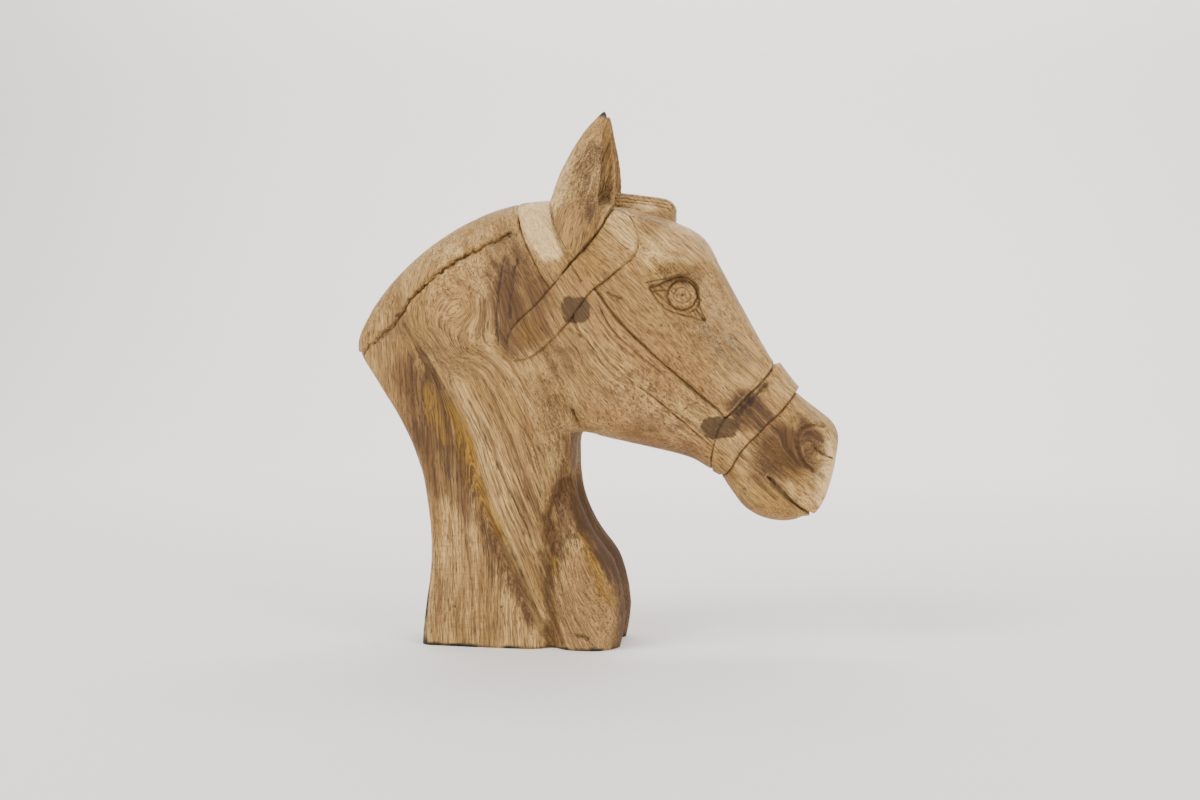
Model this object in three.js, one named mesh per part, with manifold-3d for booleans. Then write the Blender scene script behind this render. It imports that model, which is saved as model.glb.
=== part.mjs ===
// A horse's head and neck carved from one block of pale, weathered wood, standing on the
// sawn underside of its neck. It wears a plain halter cut in low relief: a crown strap behind
// the ears, a brow band that runs on down as a throat strap, a cheek strap and a noseband.
// Millimetres, +Z up, +X the way the horse looks. The origin is on the underside.
import * as THREE from "three";
import { mergeVertices } from "three/addons/utils/BufferGeometryUtils.js";
import Module from "manifold-3d";

const wasm = await Module();
wasm.setup();

// Driving sizes
const height = 430; // underside to ear tips
const blockWidth = 100; // thickness of the block, ear to ear
const strapRise = 2.6; // how proud the halter's straps stand
const nosebandRise = 4.6; // the noseband's bridge over the nose
const maneRise = 1.8; // how proud the clipped mane stands
const splitDepth = 3; // the split along the mane's edge
const splitWidth = 2.4;
const creaseDepth = 2; // the crease below the mane's corner
const creaseWidth = 2;
const mouthDepth = 14; // how far the mouth is cut in from each side

// The figure is drawn 430 mm high, and its pose and carving keep their shares of its height.
const scale = height / 430;
const side = blockWidth / 2;

const ringCount = 62;
const ringPoints = 34;

// Pairs of points that face each other across the form, from the underside up the neck,
// over the poll and down to the lips: [crest or forehead x, z, chest, throat or jaw x, z].
const outline = [
  [-84.5, 0, 83, 0],
  [-81.5, 30, 87, 32],
  [-77.5, 64, 80, 66],
  [-78, 90, 63, 90],
  [-81, 114, 52, 112],
  [-87, 143, 46, 138],
  [-102, 179, 44, 157],
  [-124, 214, 44, 166],
  [-139, 240, 45, 171],
  [-129, 266, 46, 171.5],
  [-109, 294, 47, 171.5],
  [-80, 320, 48, 171.5],
  [-47, 341, 50, 171],
  [-11, 354, 53, 170.5],
  [27, 358, 57, 169.5],
  [64, 356, 64, 167.5],
  [97, 350, 76, 165],
  [122, 341, 90, 162],
  [144.5, 328, 105, 158.5],
  [158, 304, 122, 154.5],
  [174, 274, 136, 150],
  [190, 246, 148, 143.5],
  [204, 223, 158, 138],
  [220, 203.5, 165.5, 127],
  [236, 190.5, 176, 113],
  [248, 180.5, 189, 104.5],
  [252.5, 169.5, 204, 101],
  [251, 154, 216, 101.5],
  [247.5, 137, 223, 104],
  [242, 120, 229, 105],
  [236, 110.5, 232, 107],
];

// Half widths of the form at chosen places, as [x, z, share of half the block].
const widths = [
  [-80, 0, 0.72], [-40, 0, 0.86], [5, 0, 0.92], [45, 0, 1.0], [80, 0, 1.0],
  [-77, 64, 0.66], [-38, 64, 0.84], [5, 64, 0.9], [45, 64, 0.97], [76, 66, 0.94],
  [-81, 114, 0.6], [-40, 114, 0.84], [5, 114, 0.88], [52, 112, 0.82],
  [-95, 165, 0.54], [-55, 160, 0.8], [0, 160, 0.92], [44, 157, 0.78],
  [-124, 214, 0.46], [-80, 214, 0.76], [-30, 214, 0.92], [20, 205, 0.9],
  [-138, 242, 0.4], [-100, 250, 0.66], [-55, 255, 0.92], [0, 250, 0.98], [45, 235, 0.96],
  [-109, 294, 0.42], [-60, 300, 0.74], [-5, 300, 0.97], [45, 290, 0.98],
  [-47, 341, 0.42], [-5, 345, 0.6], [45, 345, 0.84], [92, 345, 0.76],
  [50, 180, 0.78], [75, 215, 1.02], [90, 180, 0.74], [112, 240, 0.88], [88, 268, 1.0],
  [118, 303, 0.96], [130, 281, 0.9], [142, 322, 0.64], [155, 302, 0.62],
  [150, 240, 0.72], [170, 268, 0.5], [132, 200, 0.74], [122, 160, 0.54], [182, 244, 0.46],
  [160, 200, 0.64], [148, 150, 0.44], [196, 222, 0.46], [188, 180, 0.6], [172, 138, 0.44],
  [214, 198, 0.5], [232, 166, 0.64], [212, 150, 0.58], [200, 116, 0.44],
  [248, 160, 0.46], [226, 122, 0.42], [236, 110, 0.2],
];

// How the two edges of each pair's section round off: the depth of the rounding on the crest
// and throat side, how square the crest side is, and how deep the chest's middle furrow is.
const edges = [
  { at: 0, crest: 12, throat: 28, square: 3.4, furrow: 15 },
  { at: 2, crest: 12, throat: 30, square: 3.4, furrow: 18 },
  { at: 4, crest: 12, throat: 27, square: 3.2, furrow: 12 },
  { at: 6, crest: 12, throat: 20, square: 3, furrow: 3 },
  { at: 8, crest: 13, throat: 18, square: 2.8, furrow: 0 },
  { at: 12, crest: 15, throat: 18, square: 2.4, furrow: 0 },
  { at: 15, crest: 16, throat: 18, square: 2.4, furrow: 0 },
  { at: 18, crest: 15, throat: 18, square: 2.6, furrow: 0 },
  { at: 21, crest: 12, throat: 15, square: 3, furrow: 0 },
  { at: 25, crest: 15, throat: 15, square: 2.4, furrow: 0 },
  { at: 28, crest: 13, throat: 13, square: 2.2, furrow: 0 },
  { at: 30, crest: 3, throat: 3, square: 2, furrow: 0 },
];

// Swellings and hollows of the sides, the same on both: rounded mounds at x, z.
const mounds = [
  { name: "cheek", at: [78, 216], reach: [40, 32], turn: -40, rise: 3 },
  { name: "temple hollow", at: [104, 326], reach: [22, 15], turn: -30, rise: -4 },
  { name: "brow", at: [122, 304], reach: [26, 12], turn: -14, rise: 5 },
  { name: "eye socket", at: [128, 281], reach: [26, 17], turn: -30, rise: -3.5 },
  { name: "face hollow", at: [163, 238], reach: [36, 16], turn: -54, rise: -3 },
  { name: "nostril rim", at: [231, 166], reach: [20, 18], turn: -45, rise: 5 },
  { name: "lip hollow", at: [205, 146], reach: [22, 14], turn: -40, rise: -2.5 },
  { name: "chin", at: [198, 119], reach: [22, 14], turn: -20, rise: 2.5 },
  { name: "breast", at: [55, 58], reach: [22, 56], turn: 6, rise: 4 },
  { name: "neck muscle", at: [-30, 286], reach: [56, 32], turn: 25, rise: 2 },
  { name: "neck hollow", at: [-64, 130], reach: [26, 62], turn: 16, rise: -3 },
];

// Long furrows of the sides: each follows a line of x, z points.
const furrows = [
  { name: "neck valley", line: [[-81, 238], [-55, 189], [-37, 135], [-12, 78], [18, 21], [26, 2]], spread: 14, depth: 4.6 },
  { name: "neck ridge", line: [[-52, 210], [-24, 143], [2, 79], [24, 30]], spread: 13, depth: -2.5 },
  { name: "breast valley", line: [[38, 140], [28, 109], [22, 80], [24, 40], [28, 2]], spread: 14, depth: 4.6 },
  { name: "jaw line", line: [[36, 232], [36, 205], [46, 174]], spread: 12, depth: 3.5 },
];

// Raised areas, as outlines in the side view that are cut right through the block.
const crownStrap = [
  [-10, 372], [30, 372], [27, 345], [36, 325], [46, 309], [62, 288], [46, 268], [25, 286], [12, 308],
  [-1, 330],
];
const browBand = [
  [73, 352], [89, 345], [93, 333], [94, 322], [91, 312], [81, 303], [59, 286], [39, 259], [25, 245],
  [11, 233], [-3, 229], [-10, 234], [-9, 246], [-5, 257], [11, 271], [41, 306],
];
const cheekStrap = [
  [46, 262], [63, 283], [75, 264], [92, 247], [126, 216], [166, 182], [168, 146], [145, 168], [113, 196],
  [65, 233],
];
const noseband = [
  [160, 184], [181, 203], [198, 222], [208, 240], [233, 222], [219, 205], [197, 180], [175, 159],
  [163, 136], [148, 140],
];
const maneEdge = [[-132, 236], [-114, 253], [-100, 264], [-93, 279], [-78, 293], [-58, 308], [-37, 319], [-8, 330]];
const mane = [[-150, 236], ...maneEdge, [0, 331], [-6, 372], [-100, 360], [-165, 270]];
const mouth = [[196, 138], [206, 127.5], [219, 114], [238, 102], [240, 105], [222, 117.5], [208, 130.5]];
const crease = [[-99, 262], [-86, 242], [-75, 228], [-66, 214]];

// Value of a Catmull-Rom curve through evenly spaced values, at position t.
function through(values, t) {
  const last = values.length - 1;
  const i = Math.min(Math.floor(t), last - 1);
  const f = t - i;
  const pick = (n) => values[Math.max(0, Math.min(last, n))];
  const [a, b, c, d] = [pick(i - 1), pick(i), pick(i + 1), pick(i + 2)];
  return b + 0.5 * f * (c - a + f * (2 * a - 5 * b + 4 * c - d + f * (3 * (b - c) + d - a)));
}

const outlineAt = (t, column) => through(outline.map((pair) => pair[column]), t) * scale;

// An edge's value at pair t, eased between the two nearest entries.
function edgeAt(t, name) {
  const next = Math.max(1, edges.findIndex((e) => e.at >= t));
  const [before, after] = [edges[next - 1], edges[next]];
  return THREE.MathUtils.lerp(before[name], after[name], THREE.MathUtils.smoothstep(t, before.at, after.at));
}

// Half width of the form at x, z: the listed places, weighed by how near they are.
function widthAt(x, z) {
  let [sum, weight] = [0, 0];
  for (const [wx, wz, share] of widths) {
    const far = ((x / height - wx / 430) ** 2 + (z / height - wz / 430) ** 2) / 0.07 ** 2;
    const w = Math.exp(-far) + 1e-6;
    sum += w * share;
    weight += w;
  }
  return (sum / weight) * side;
}

// Share of the full width at a distance in from an edge that rounds off over a given depth.
function edgeShare(distance, depth, power) {
  const left = 1 - Math.min(1, Math.max(0, distance / depth));
  return (1 - left ** power) ** (1 / power);
}

// Half of the closed section at pair t, as evenly spaced x, y, z points from crest to throat.
function halfSection(t, count) {
  const crest = new THREE.Vector3(outlineAt(t, 0), 0, outlineAt(t, 1));
  const throat = new THREE.Vector3(outlineAt(t, 2), 0, outlineAt(t, 3));
  const chord = crest.distanceTo(throat);
  const crestDepth = Math.min(edgeAt(t, "crest") * scale, chord * 0.5);
  const throatDepth = Math.min(edgeAt(t, "throat") * scale, chord * 0.5);
  const square = edgeAt(t, "square");
  const fine = 160;
  const points = [];
  for (let i = 0; i <= fine; i++) {
    const q = chord * 0.5 * (1 - Math.cos((Math.PI * i) / fine));
    const p = crest.clone().lerp(throat, q / chord);
    const round = edgeShare(q, crestDepth, square) * edgeShare(chord - q, throatDepth, 2.2);
    points.push(new THREE.Vector2(q, widthAt(p.x, p.z) * round));
  }
  const furrow = edgeAt(t, "furrow") * scale;
  return new THREE.Path(points).getSpacedPoints(count).map(({ x: q, y }) => {
    const nearThroat = THREE.MathUtils.smoothstep(q, chord - 40 * scale, chord);
    const pressed = q - furrow * nearThroat * Math.exp(-((y / (0.32 * side)) ** 2));
    return crest.clone().lerp(throat, pressed / chord).setY(-y);
  });
}

// The body as rings of points, all alike, spaced by how far both outlines travel.
function bodyRings() {
  const last = outline.length - 1;
  const fine = 600;
  const travel = [0];
  for (let i = 1; i <= fine; i++) {
    const [a, b] = [((i - 1) * last) / fine, (i * last) / fine];
    const step = (x, z) => Math.hypot(outlineAt(b, x) - outlineAt(a, x), outlineAt(b, z) - outlineAt(a, z));
    travel.push(travel[i - 1] + 0.65 * step(0, 1) + 0.35 * step(2, 3));
  }
  const rings = [];
  for (let n = 0; n < ringCount; n++) {
    const wanted = (travel[fine] * n) / (ringCount - 1);
    const i = Math.max(1, travel.findIndex((d) => d >= wanted - 1e-9));
    const t = ((i - 1 + (wanted - travel[i - 1]) / (travel[i] - travel[i - 1])) * last) / fine;
    const near = halfSection(t, ringPoints / 2);
    const far = near.slice(1, -1).reverse().map((p) => new THREE.Vector3(p.x, -p.y, p.z));
    rings.push([...near, ...far]);
  }
  return rings;
}

// How far a mound lifts the surface at x, z.
function moundLift({ at, reach, turn, rise }, x, z) {
  const a = THREE.MathUtils.degToRad(turn);
  const [dx, dz] = [x / scale - at[0], z / scale - at[1]];
  const u = (dx * Math.cos(a) + dz * Math.sin(a)) / reach[0];
  const v = (dz * Math.cos(a) - dx * Math.sin(a)) / reach[1];
  return rise * scale * Math.exp(-(u * u + v * v) * 1.4);
}

// How far a furrow lowers the surface at x, z.
function furrowLift({ line, spread, depth }, x, z) {
  const p = new THREE.Vector3(x / scale, 0, z / scale);
  const near = new THREE.Vector3();
  let distance = Infinity;
  for (let i = 1; i < line.length; i++) {
    const [a, b] = [line[i - 1], line[i]].map(([px, pz]) => new THREE.Vector3(px, 0, pz));
    new THREE.Line3(a, b).closestPointToPoint(p, true, near);
    distance = Math.min(distance, near.distanceTo(p));
  }
  return -depth * scale * Math.exp(-((distance / spread) ** 2));
}

function carving(x, z) {
  let lift = 0;
  for (const m of mounds) lift += moundLift(m, x, z);
  for (const f of furrows) lift += furrowLift(f, x, z);
  return lift;
}

// Moves each ring point along the surface normal: the carved forms, and then a growth that
// may differ between the sides and the top of the form.
function carve(rings, sideGrow, topGrow) {
  const count = rings[0].length;
  return rings.map((ring, n) =>
    ring.map((p, k) => {
      const along = rings[Math.min(n + 1, rings.length - 1)][k].clone().sub(rings[Math.max(n - 1, 0)][k]);
      const around = ring[(k + 1) % count].clone().sub(ring[(k + count - 1) % count]);
      const normal = around.cross(along).normalize();
      const facing = Math.abs(normal.y);
      const top = THREE.MathUtils.smoothstep(normal.z, 0.1, 0.6) * (1 - facing);
      const lift = Math.min(1, 1.3 * facing) * carving(p.x, p.z) + THREE.MathUtils.lerp(sideGrow, topGrow, top);
      const moved = p.clone().addScaledVector(normal, lift);
      if (n === 0) moved.z = 0;
      return moved;
    }),
  );
}

// A closed solid from rings of equal length, with a flat fan at each end. Each quad is split
// along its shorter diagonal.
function loft(rings) {
  const count = rings[0].length;
  const points = rings.flat();
  const middle = (ring) => ring.reduce((sum, p) => sum.add(p), new THREE.Vector3()).divideScalar(count);
  points.push(middle(rings[0]), middle(rings.at(-1)));
  const [firstHub, lastHub] = [points.length - 2, points.length - 1];
  const faces = [];
  for (let n = 0; n + 1 < rings.length; n++)
    for (let k = 0; k < count; k++) {
      const [a, b] = [n * count + k, n * count + ((k + 1) % count)];
      const [c, d] = [b + count, a + count];
      if (points[a].distanceTo(points[c]) < points[b].distanceTo(points[d])) faces.push(a, b, c, a, c, d);
      else faces.push(a, b, d, b, c, d);
    }
  const top = (rings.length - 1) * count;
  for (let k = 0; k < count; k++) {
    faces.push(firstHub, (k + 1) % count, k);
    faces.push(lastHub, top + k, top + ((k + 1) % count));
  }
  const geometry = new THREE.BufferGeometry().setFromPoints(points);
  geometry.setIndex(faces);
  return solid(geometry);
}

// A geometry's closed mesh as a solid that can be joined and cut.
function solid(geometry) {
  geometry.deleteAttribute("normal");
  geometry.deleteAttribute("uv");
  const merged = mergeVertices(geometry, 1e-4);
  const made = new wasm.Manifold(
    new wasm.Mesh({
      numProp: 3,
      vertProperties: merged.attributes.position.array,
      triVerts: new Uint32Array(merged.index.array),
    }),
  );
  return made.volume() < 0 ? solid(turnedOut(merged)) : made;
}

// The same geometry with each face turned round.
function turnedOut(geometry) {
  const index = geometry.index.array;
  for (let i = 0; i < index.length; i += 3) [index[i + 1], index[i + 2]] = [index[i + 2], index[i + 1]];
  return geometry;
}

// A side-view outline drawn out through the block, from one y to another.
function drawnOut(points, fromY, toY) {
  const shape = new THREE.Shape(points.map(([x, z]) => new THREE.Vector2(x * scale, z * scale)));
  const geometry = new THREE.ExtrudeGeometry(shape, { depth: toY - fromY, bevelEnabled: false });
  geometry.rotateX(Math.PI / 2);
  geometry.translate(0, toY, 0);
  return solid(geometry);
}

// Distance of the carved side from the mid-plane at drawn x, z.
const skinAt = (x, z) => widthAt(x * scale, z * scale) + carving(x * scale, z * scale);

// A round cord along x, z points on one side of the form, at the depth of its surface.
function cord(points, sign, radius, rounds, steps, over) {
  const path = new THREE.CatmullRomCurve3(
    points.map(([x, z]) => new THREE.Vector3(x * scale, sign * (skinAt(x, z) + over), z * scale)),
  );
  const circle = new THREE.Shape().absarc(0, 0, radius, 0, 2 * Math.PI);
  const options = { steps, extrudePath: path, curveSegments: rounds };
  return solid(new THREE.ExtrudeGeometry(circle, options));
}

// A stretched ball at x, z on one side, turned in the side view.
function ball(x, z, sign, out, radii, turn, rounds) {
  const geometry = new THREE.SphereGeometry(1, rounds, Math.ceil(rounds * 0.6));
  geometry.scale(...radii.map((r) => r * scale));
  geometry.rotateY(THREE.MathUtils.degToRad(-turn));
  geometry.translate(x * scale, sign * out, z * scale);
  return solid(geometry);
}

// A leaf of ellipses: levels of centre x, z, half width along x, half thickness and y share.
function leaf(levels, sign, round) {
  const rings = levels.map(([x, z, wide, thick, out]) =>
    Array.from({ length: round }, (_, k) => {
      const a = (2 * Math.PI * k) / round;
      const [u, v] = [wide * Math.cos(a), thick * Math.sin(a)];
      return new THREE.Vector3((x + u) * scale, sign * (out * side + v * scale), z * scale);
    }),
  );
  return loft(rings);
}

// One ear: a leaf, hollowed by a slimmer leaf set further forward and a little outward.
function ear(sign) {
  const levels = [
    [45, 305, 2, 4, 0.88],
    [44.5, 320, 10, 10, 0.8],
    [47, 337, 19.5, 13, 0.7],
    [49.5, 357, 25.8, 14, 0.6],
    [53, 378, 23.6, 13, 0.52],
    [56.2, 396, 17.9, 11, 0.45],
    [59.2, 411, 11.8, 8, 0.39],
    [62.2, 422, 6.2, 4.5, 0.34],
    [64.7, 430, 0.8, 0.8, 0.31],
  ];
  const hollow = levels
    .slice(2, -1)
    .map(([x, z, wide, thick, out]) => [x + wide * 0.62, z, wide * 0.84, thick * 0.62, out + thick * 0.005]);
  return leaf(levels, sign, 16).subtract(leaf(hollow, sign, 12));
}

// The forelock: a tongue of hair that lies forward between the ears and ends in a blunt roll,
// with grooves between its strands.
function forelock() {
  const levels = [
    // x, top z, half width, underside z
    [40, 354, 12, 338],
    [54, 363, 16, 338],
    [68, 366, 18, 338],
    [82, 365, 18.5, 336],
    [96, 363, 18.5, 334],
    [108, 361.5, 17.5, 334],
    [116, 359.5, 16, 337],
    [120.5, 355, 13, 342],
    [121.5, 351, 9, 346],
  ];
  const round = 24;
  const strands = 3;
  const rings = levels.map(([x, top, wide, under]) =>
    Array.from({ length: round }, (_, k) => {
      const a = (2 * Math.PI * k) / round;
      const [c, s] = [Math.cos(a), Math.sin(a)];
      const across = Math.sign(c) * Math.abs(c) ** 0.7;
      const groove = s > 0 ? 1.6 * Math.abs(Math.cos((strands * Math.PI * (across + 1)) / 2)) ** 4 : 0;
      const z = (top + under) / 2 + ((top - under) / 2) * Math.sign(s) * Math.abs(s) ** 0.7 - groove;
      return new THREE.Vector3(x * scale, across * wide * scale, z * scale);
    }),
  );
  return loft(rings);
}

// An eye: a ball between two lids that meet in a pointed inner and outer corner.
function eye(sign) {
  const upper = [[108, 284], [117, 289.5], [127, 292], [136, 288], [141, 278], [146, 262]];
  const lower = [[108, 284], [116, 275], [125, 269.5], [134, 266], [146, 262]];
  return ball(129, 280.5, sign, skinAt(130, 281) - 1.5 * scale, [10.5, 6, 9.5], -20, 11)
    .add(cord(upper, sign, 2.2 * scale, 4, 7, 0.6 * scale))
    .add(cord(lower, sign, 1.9 * scale, 4, 6, 0.6 * scale));
}

// A raised area: the grown body, kept only inside the outline.
function raised(rings, points, sideGrow, topGrow) {
  return loft(carve(rings, sideGrow, topGrow)).intersect(drawnOut(points, -blockWidth, blockWidth));
}

// A ribbon of even width along x, z points, as an outline.
function ribbon(points, width) {
  const offset = (sign) =>
    points.map((p, i) => {
      const [before, after] = [points[Math.max(0, i - 1)], points[Math.min(points.length - 1, i + 1)]];
      const across = new THREE.Vector2(before[1] - after[1], after[0] - before[0]).setLength((sign * width) / 2 / scale);
      return [p[0] + across.x, p[1] + across.y];
    });
  return [...offset(1), ...offset(-1).reverse()];
}

// The skin of the body inside an outline, down to a depth and out past all straps.
function cutSkin(rings, points, depth) {
  const over = 2 * Math.max(strapRise, nosebandRise, maneRise);
  const skin = loft(carve(rings, over, over)).subtract(loft(carve(rings, -depth, -depth)));
  return skin.intersect(drawnOut(points, -blockWidth, blockWidth));
}

function horseHead() {
  const rings = bodyRings();
  let head = loft(carve(rings, 0, 0));
  head = head.add(raised(rings, mane, maneRise, maneRise));
  for (const strap of [crownStrap, cheekStrap, browBand]) head = head.add(raised(rings, strap, strapRise, strapRise));
  head = head.add(raised(rings, noseband, strapRise, nosebandRise)).add(forelock());
  head = head.subtract(cutSkin(rings, ribbon(maneEdge, splitWidth), splitDepth));
  head = head.subtract(cutSkin(rings, ribbon(crease, creaseWidth), creaseDepth));
  const inner = 0.5 * side - mouthDepth;
  for (const sign of [-1, 1]) {
    head = head.add(ear(sign)).add(eye(sign));
    head = head.subtract(drawnOut(mouth, ...(sign < 0 ? [-blockWidth, -inner] : [inner, blockWidth])));
    head = head.subtract(ball(238, 160, sign, skinAt(238, 160) + 1.5 * scale, [9, 8, 5.5], -60, 10));
  }
  return head;
}

const wood = new THREE.MeshStandardMaterial({ color: 0xb99b70, roughness: 0.62, metalness: 0 });

function asGeometry(made) {
  const { vertProperties, triVerts } = made.getMesh();
  const geometry = new THREE.BufferGeometry();
  geometry.setAttribute("position", new THREE.BufferAttribute(vertProperties, 3));
  geometry.setIndex(new THREE.BufferAttribute(triVerts, 1));
  geometry.computeVertexNormals();
  return geometry;
}

const sculpture = new THREE.Group();
const head = new THREE.Mesh(asGeometry(horseHead()), wood);
head.name = "horse_head";
sculpture.add(head);

export default sculpture;
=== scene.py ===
import math

import bpy
import numpy as np
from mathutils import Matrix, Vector


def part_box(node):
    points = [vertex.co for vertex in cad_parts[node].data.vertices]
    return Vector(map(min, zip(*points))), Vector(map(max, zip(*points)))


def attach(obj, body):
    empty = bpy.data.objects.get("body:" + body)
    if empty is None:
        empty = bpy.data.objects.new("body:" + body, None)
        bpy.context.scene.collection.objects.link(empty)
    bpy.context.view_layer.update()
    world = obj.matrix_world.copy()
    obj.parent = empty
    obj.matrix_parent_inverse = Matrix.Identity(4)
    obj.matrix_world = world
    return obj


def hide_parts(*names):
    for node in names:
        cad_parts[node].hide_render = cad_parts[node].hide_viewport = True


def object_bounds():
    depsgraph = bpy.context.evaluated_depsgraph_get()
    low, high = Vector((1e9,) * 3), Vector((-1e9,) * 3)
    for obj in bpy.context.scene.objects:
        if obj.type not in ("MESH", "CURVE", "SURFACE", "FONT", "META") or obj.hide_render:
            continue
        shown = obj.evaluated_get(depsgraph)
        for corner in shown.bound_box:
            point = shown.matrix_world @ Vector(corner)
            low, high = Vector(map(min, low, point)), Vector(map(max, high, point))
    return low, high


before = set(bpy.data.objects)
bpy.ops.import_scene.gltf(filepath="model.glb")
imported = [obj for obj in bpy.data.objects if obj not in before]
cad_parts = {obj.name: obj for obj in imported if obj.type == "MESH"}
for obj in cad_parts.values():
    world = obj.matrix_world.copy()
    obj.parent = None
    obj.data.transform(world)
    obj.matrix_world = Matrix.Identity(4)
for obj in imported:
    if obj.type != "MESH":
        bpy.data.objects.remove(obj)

cadLow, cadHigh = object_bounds()
nodeLow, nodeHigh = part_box("horse_head")
# drawn millimetres: the height, half the thickness with its mounds, half the plain block
drawnHeight, drawnHalf, drawnBlock = 430.0, 53.5, 50
mm = (nodeHigh.z - nodeLow.z) / drawnHeight  # one drawn millimetre, in metres
side = (nodeHigh.y - nodeLow.y) / 2 / mm / drawnHalf * drawnBlock


# Small helpers
def smoothstep(value, low, high):
    t = np.clip((value - low) / (high - low), 0, 1)
    return t * t * (3 - 2 * t)


# 1 up to where it is full, 0 from where it is gone
def fadeOut(value, full, gone):
    return smoothstep(-value, -gone, -full)


def bell(distance, width):
    return np.exp(-((distance / width) ** 2))


# 0 at both ends of a line, 1 between them
def fadedEnds(along, share):
    return smoothstep(along, 0, share) * smoothstep(1 - along, 0, share)


# a smooth curve through rows of values
def through(values, t):
    values = np.asarray(values, float)
    last = len(values) - 1
    i = np.minimum(np.floor(t).astype(int), last - 1)
    f = (t - i)[:, None] if values.ndim > 1 else t - i
    a, b = values[np.maximum(i - 1, 0)], values[i]
    c, d = values[i + 1], values[np.minimum(i + 2, last)]
    return b + 0.5 * f * (c - a + f * (2 * a - 5 * b + 4 * c - d + f * (3 * (b - c) + d - a)))


# a line or an outline with its corners cut
def rounded(points, rounds=2, closed=True):
    points = np.asarray(points, float)
    for _ in range(rounds):
        after = np.roll(points, -1, 0) if closed else points[1:]
        before = points if closed else points[:-1]
        cut = np.stack([before * 0.75 + after * 0.25, before * 0.25 + after * 0.75], 1).reshape(-1, 2)
        points = cut if closed else np.vstack([points[:1], cut, points[-1:]])
    return points


# how far each point is from a line in the side view, and how far along it
def lineDistance(x, z, line):
    line = np.asarray(line, float)
    best, along = np.full(x.shape, np.inf), np.zeros(x.shape)
    for i, (a, b) in enumerate(zip(line[:-1], line[1:])):
        ab = b - a
        t = np.clip(((x - a[0]) * ab[0] + (z - a[1]) * ab[1]) / max(ab @ ab, 1e-9), 0, 1)
        d = np.hypot(x - a[0] - t * ab[0], z - a[1] - t * ab[1])
        nearer = d < best
        best = np.where(nearer, d, best)
        along = np.where(nearer, (i + t) / (len(line) - 1), along)
    return best, along


# above 0 inside an outline, below 0 outside it
def insideDistance(x, z, outline):
    outline = np.asarray(outline, float)
    closed = np.vstack([outline, outline[:1]])
    distance, _ = lineDistance(x, z, closed)
    inside = np.zeros(x.shape, bool)
    for a, b in zip(closed[:-1], closed[1:]):
        crosses = (a[1] > z) != (b[1] > z)
        with np.errstate(divide="ignore", invalid="ignore"):
            edge = a[0] + (z - a[1]) * (b[0] - a[0]) / (b[1] - a[1] if b[1] != a[1] else 1e-9)
        inside ^= crosses & (x < edge)
    return np.where(inside, distance, -distance)


# 0 in the middle of a turned oval, 1 on its rim
def ovalReach(x, z, middle, reach, turn):
    c, s = math.cos(math.radians(turn)), math.sin(math.radians(turn))
    u = ((x - middle[0]) * c + (z - middle[1]) * s) / reach[0]
    v = ((z - middle[1]) * c - (x - middle[0]) * s) / reach[1]
    return u * u + v * v


# a cut with its depth and the painted shade that darkens it
def cutIn(lift, dark, share, depth, shade=1.0):
    return lift - depth * share, np.maximum(dark, share * shade)


randomGrid = np.random.RandomState(7).uniform(-1, 1, (32, 32, 32))


def noise(x, y, z):
    cells = [np.floor(v).astype(int) for v in (x, y, z)]
    parts = [smoothstep(v - c, 0, 1) for v, c in zip((x, y, z), cells)]
    size = len(randomGrid)
    total = 0
    for corner in np.ndindex(2, 2, 2):
        weight = 1
        for part, step in zip(parts, corner):
            weight = weight * (part if step else 1 - part)
        place = tuple((cell + step) % size for cell, step in zip(cells, corner))
        total = total + weight * randomGrid[place]
    return total


def cloud(x, y, z, size):
    layers = ((0.6, 1), (0.3, 2.1), (0.15, 4.3))  # share, how many times finer
    return sum(share * noise(times * x / size, times * y / size, times * z / size) for share, times in layers)


# points and faces of a skin over rings, with a lid on each end
def closedLoft(rings):
    rings = np.asarray(rings, float)
    levels, count, _ = rings.shape
    points = np.vstack([rings.reshape(-1, 3), rings[0].mean(0), rings[-1].mean(0)])
    level, k = np.meshgrid(np.arange(levels - 1), np.arange(count), indexing="ij")
    a = level * count + k
    b = level * count + (k + 1) % count
    quads = np.stack([a, b, b + count, a + count], -1).reshape(-1, 4)
    k = np.arange(count)
    low, high = levels * count, levels * count + 1
    top = (levels - 1) * count
    lids = [(low, (i + 1) % count, i) for i in k] + [(high, top + i, top + (i + 1) % count) for i in k]
    return points, [tuple(q) for q in quads.tolist()] + lids


def addThing(name, data):
    made = bpy.data.objects.new(name, data)
    bpy.context.scene.collection.objects.link(made)
    return made


def makeMesh(name, points, faces):
    mesh = bpy.data.meshes.new(name)
    mesh.from_pydata(np.asarray(points).tolist(), [], faces)
    mesh.shade_smooth()
    return addThing(name, mesh)


def threeByThree(rows, name):
    flat = np.zeros(len(rows) * 3, np.float32)
    rows.foreach_get(name, flat)
    return flat.reshape(-1, 3).astype(float)


# places in drawn millimetres, and normals
def pointsOf(mesh):
    return threeByThree(mesh.vertices, "co") / mm, threeByThree(mesh.vertex_normals, "vector")


def placeVertices(mesh, points):
    mesh.vertices.foreach_set("co", (points * mm).astype(np.float32).ravel())
    mesh.update()


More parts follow.
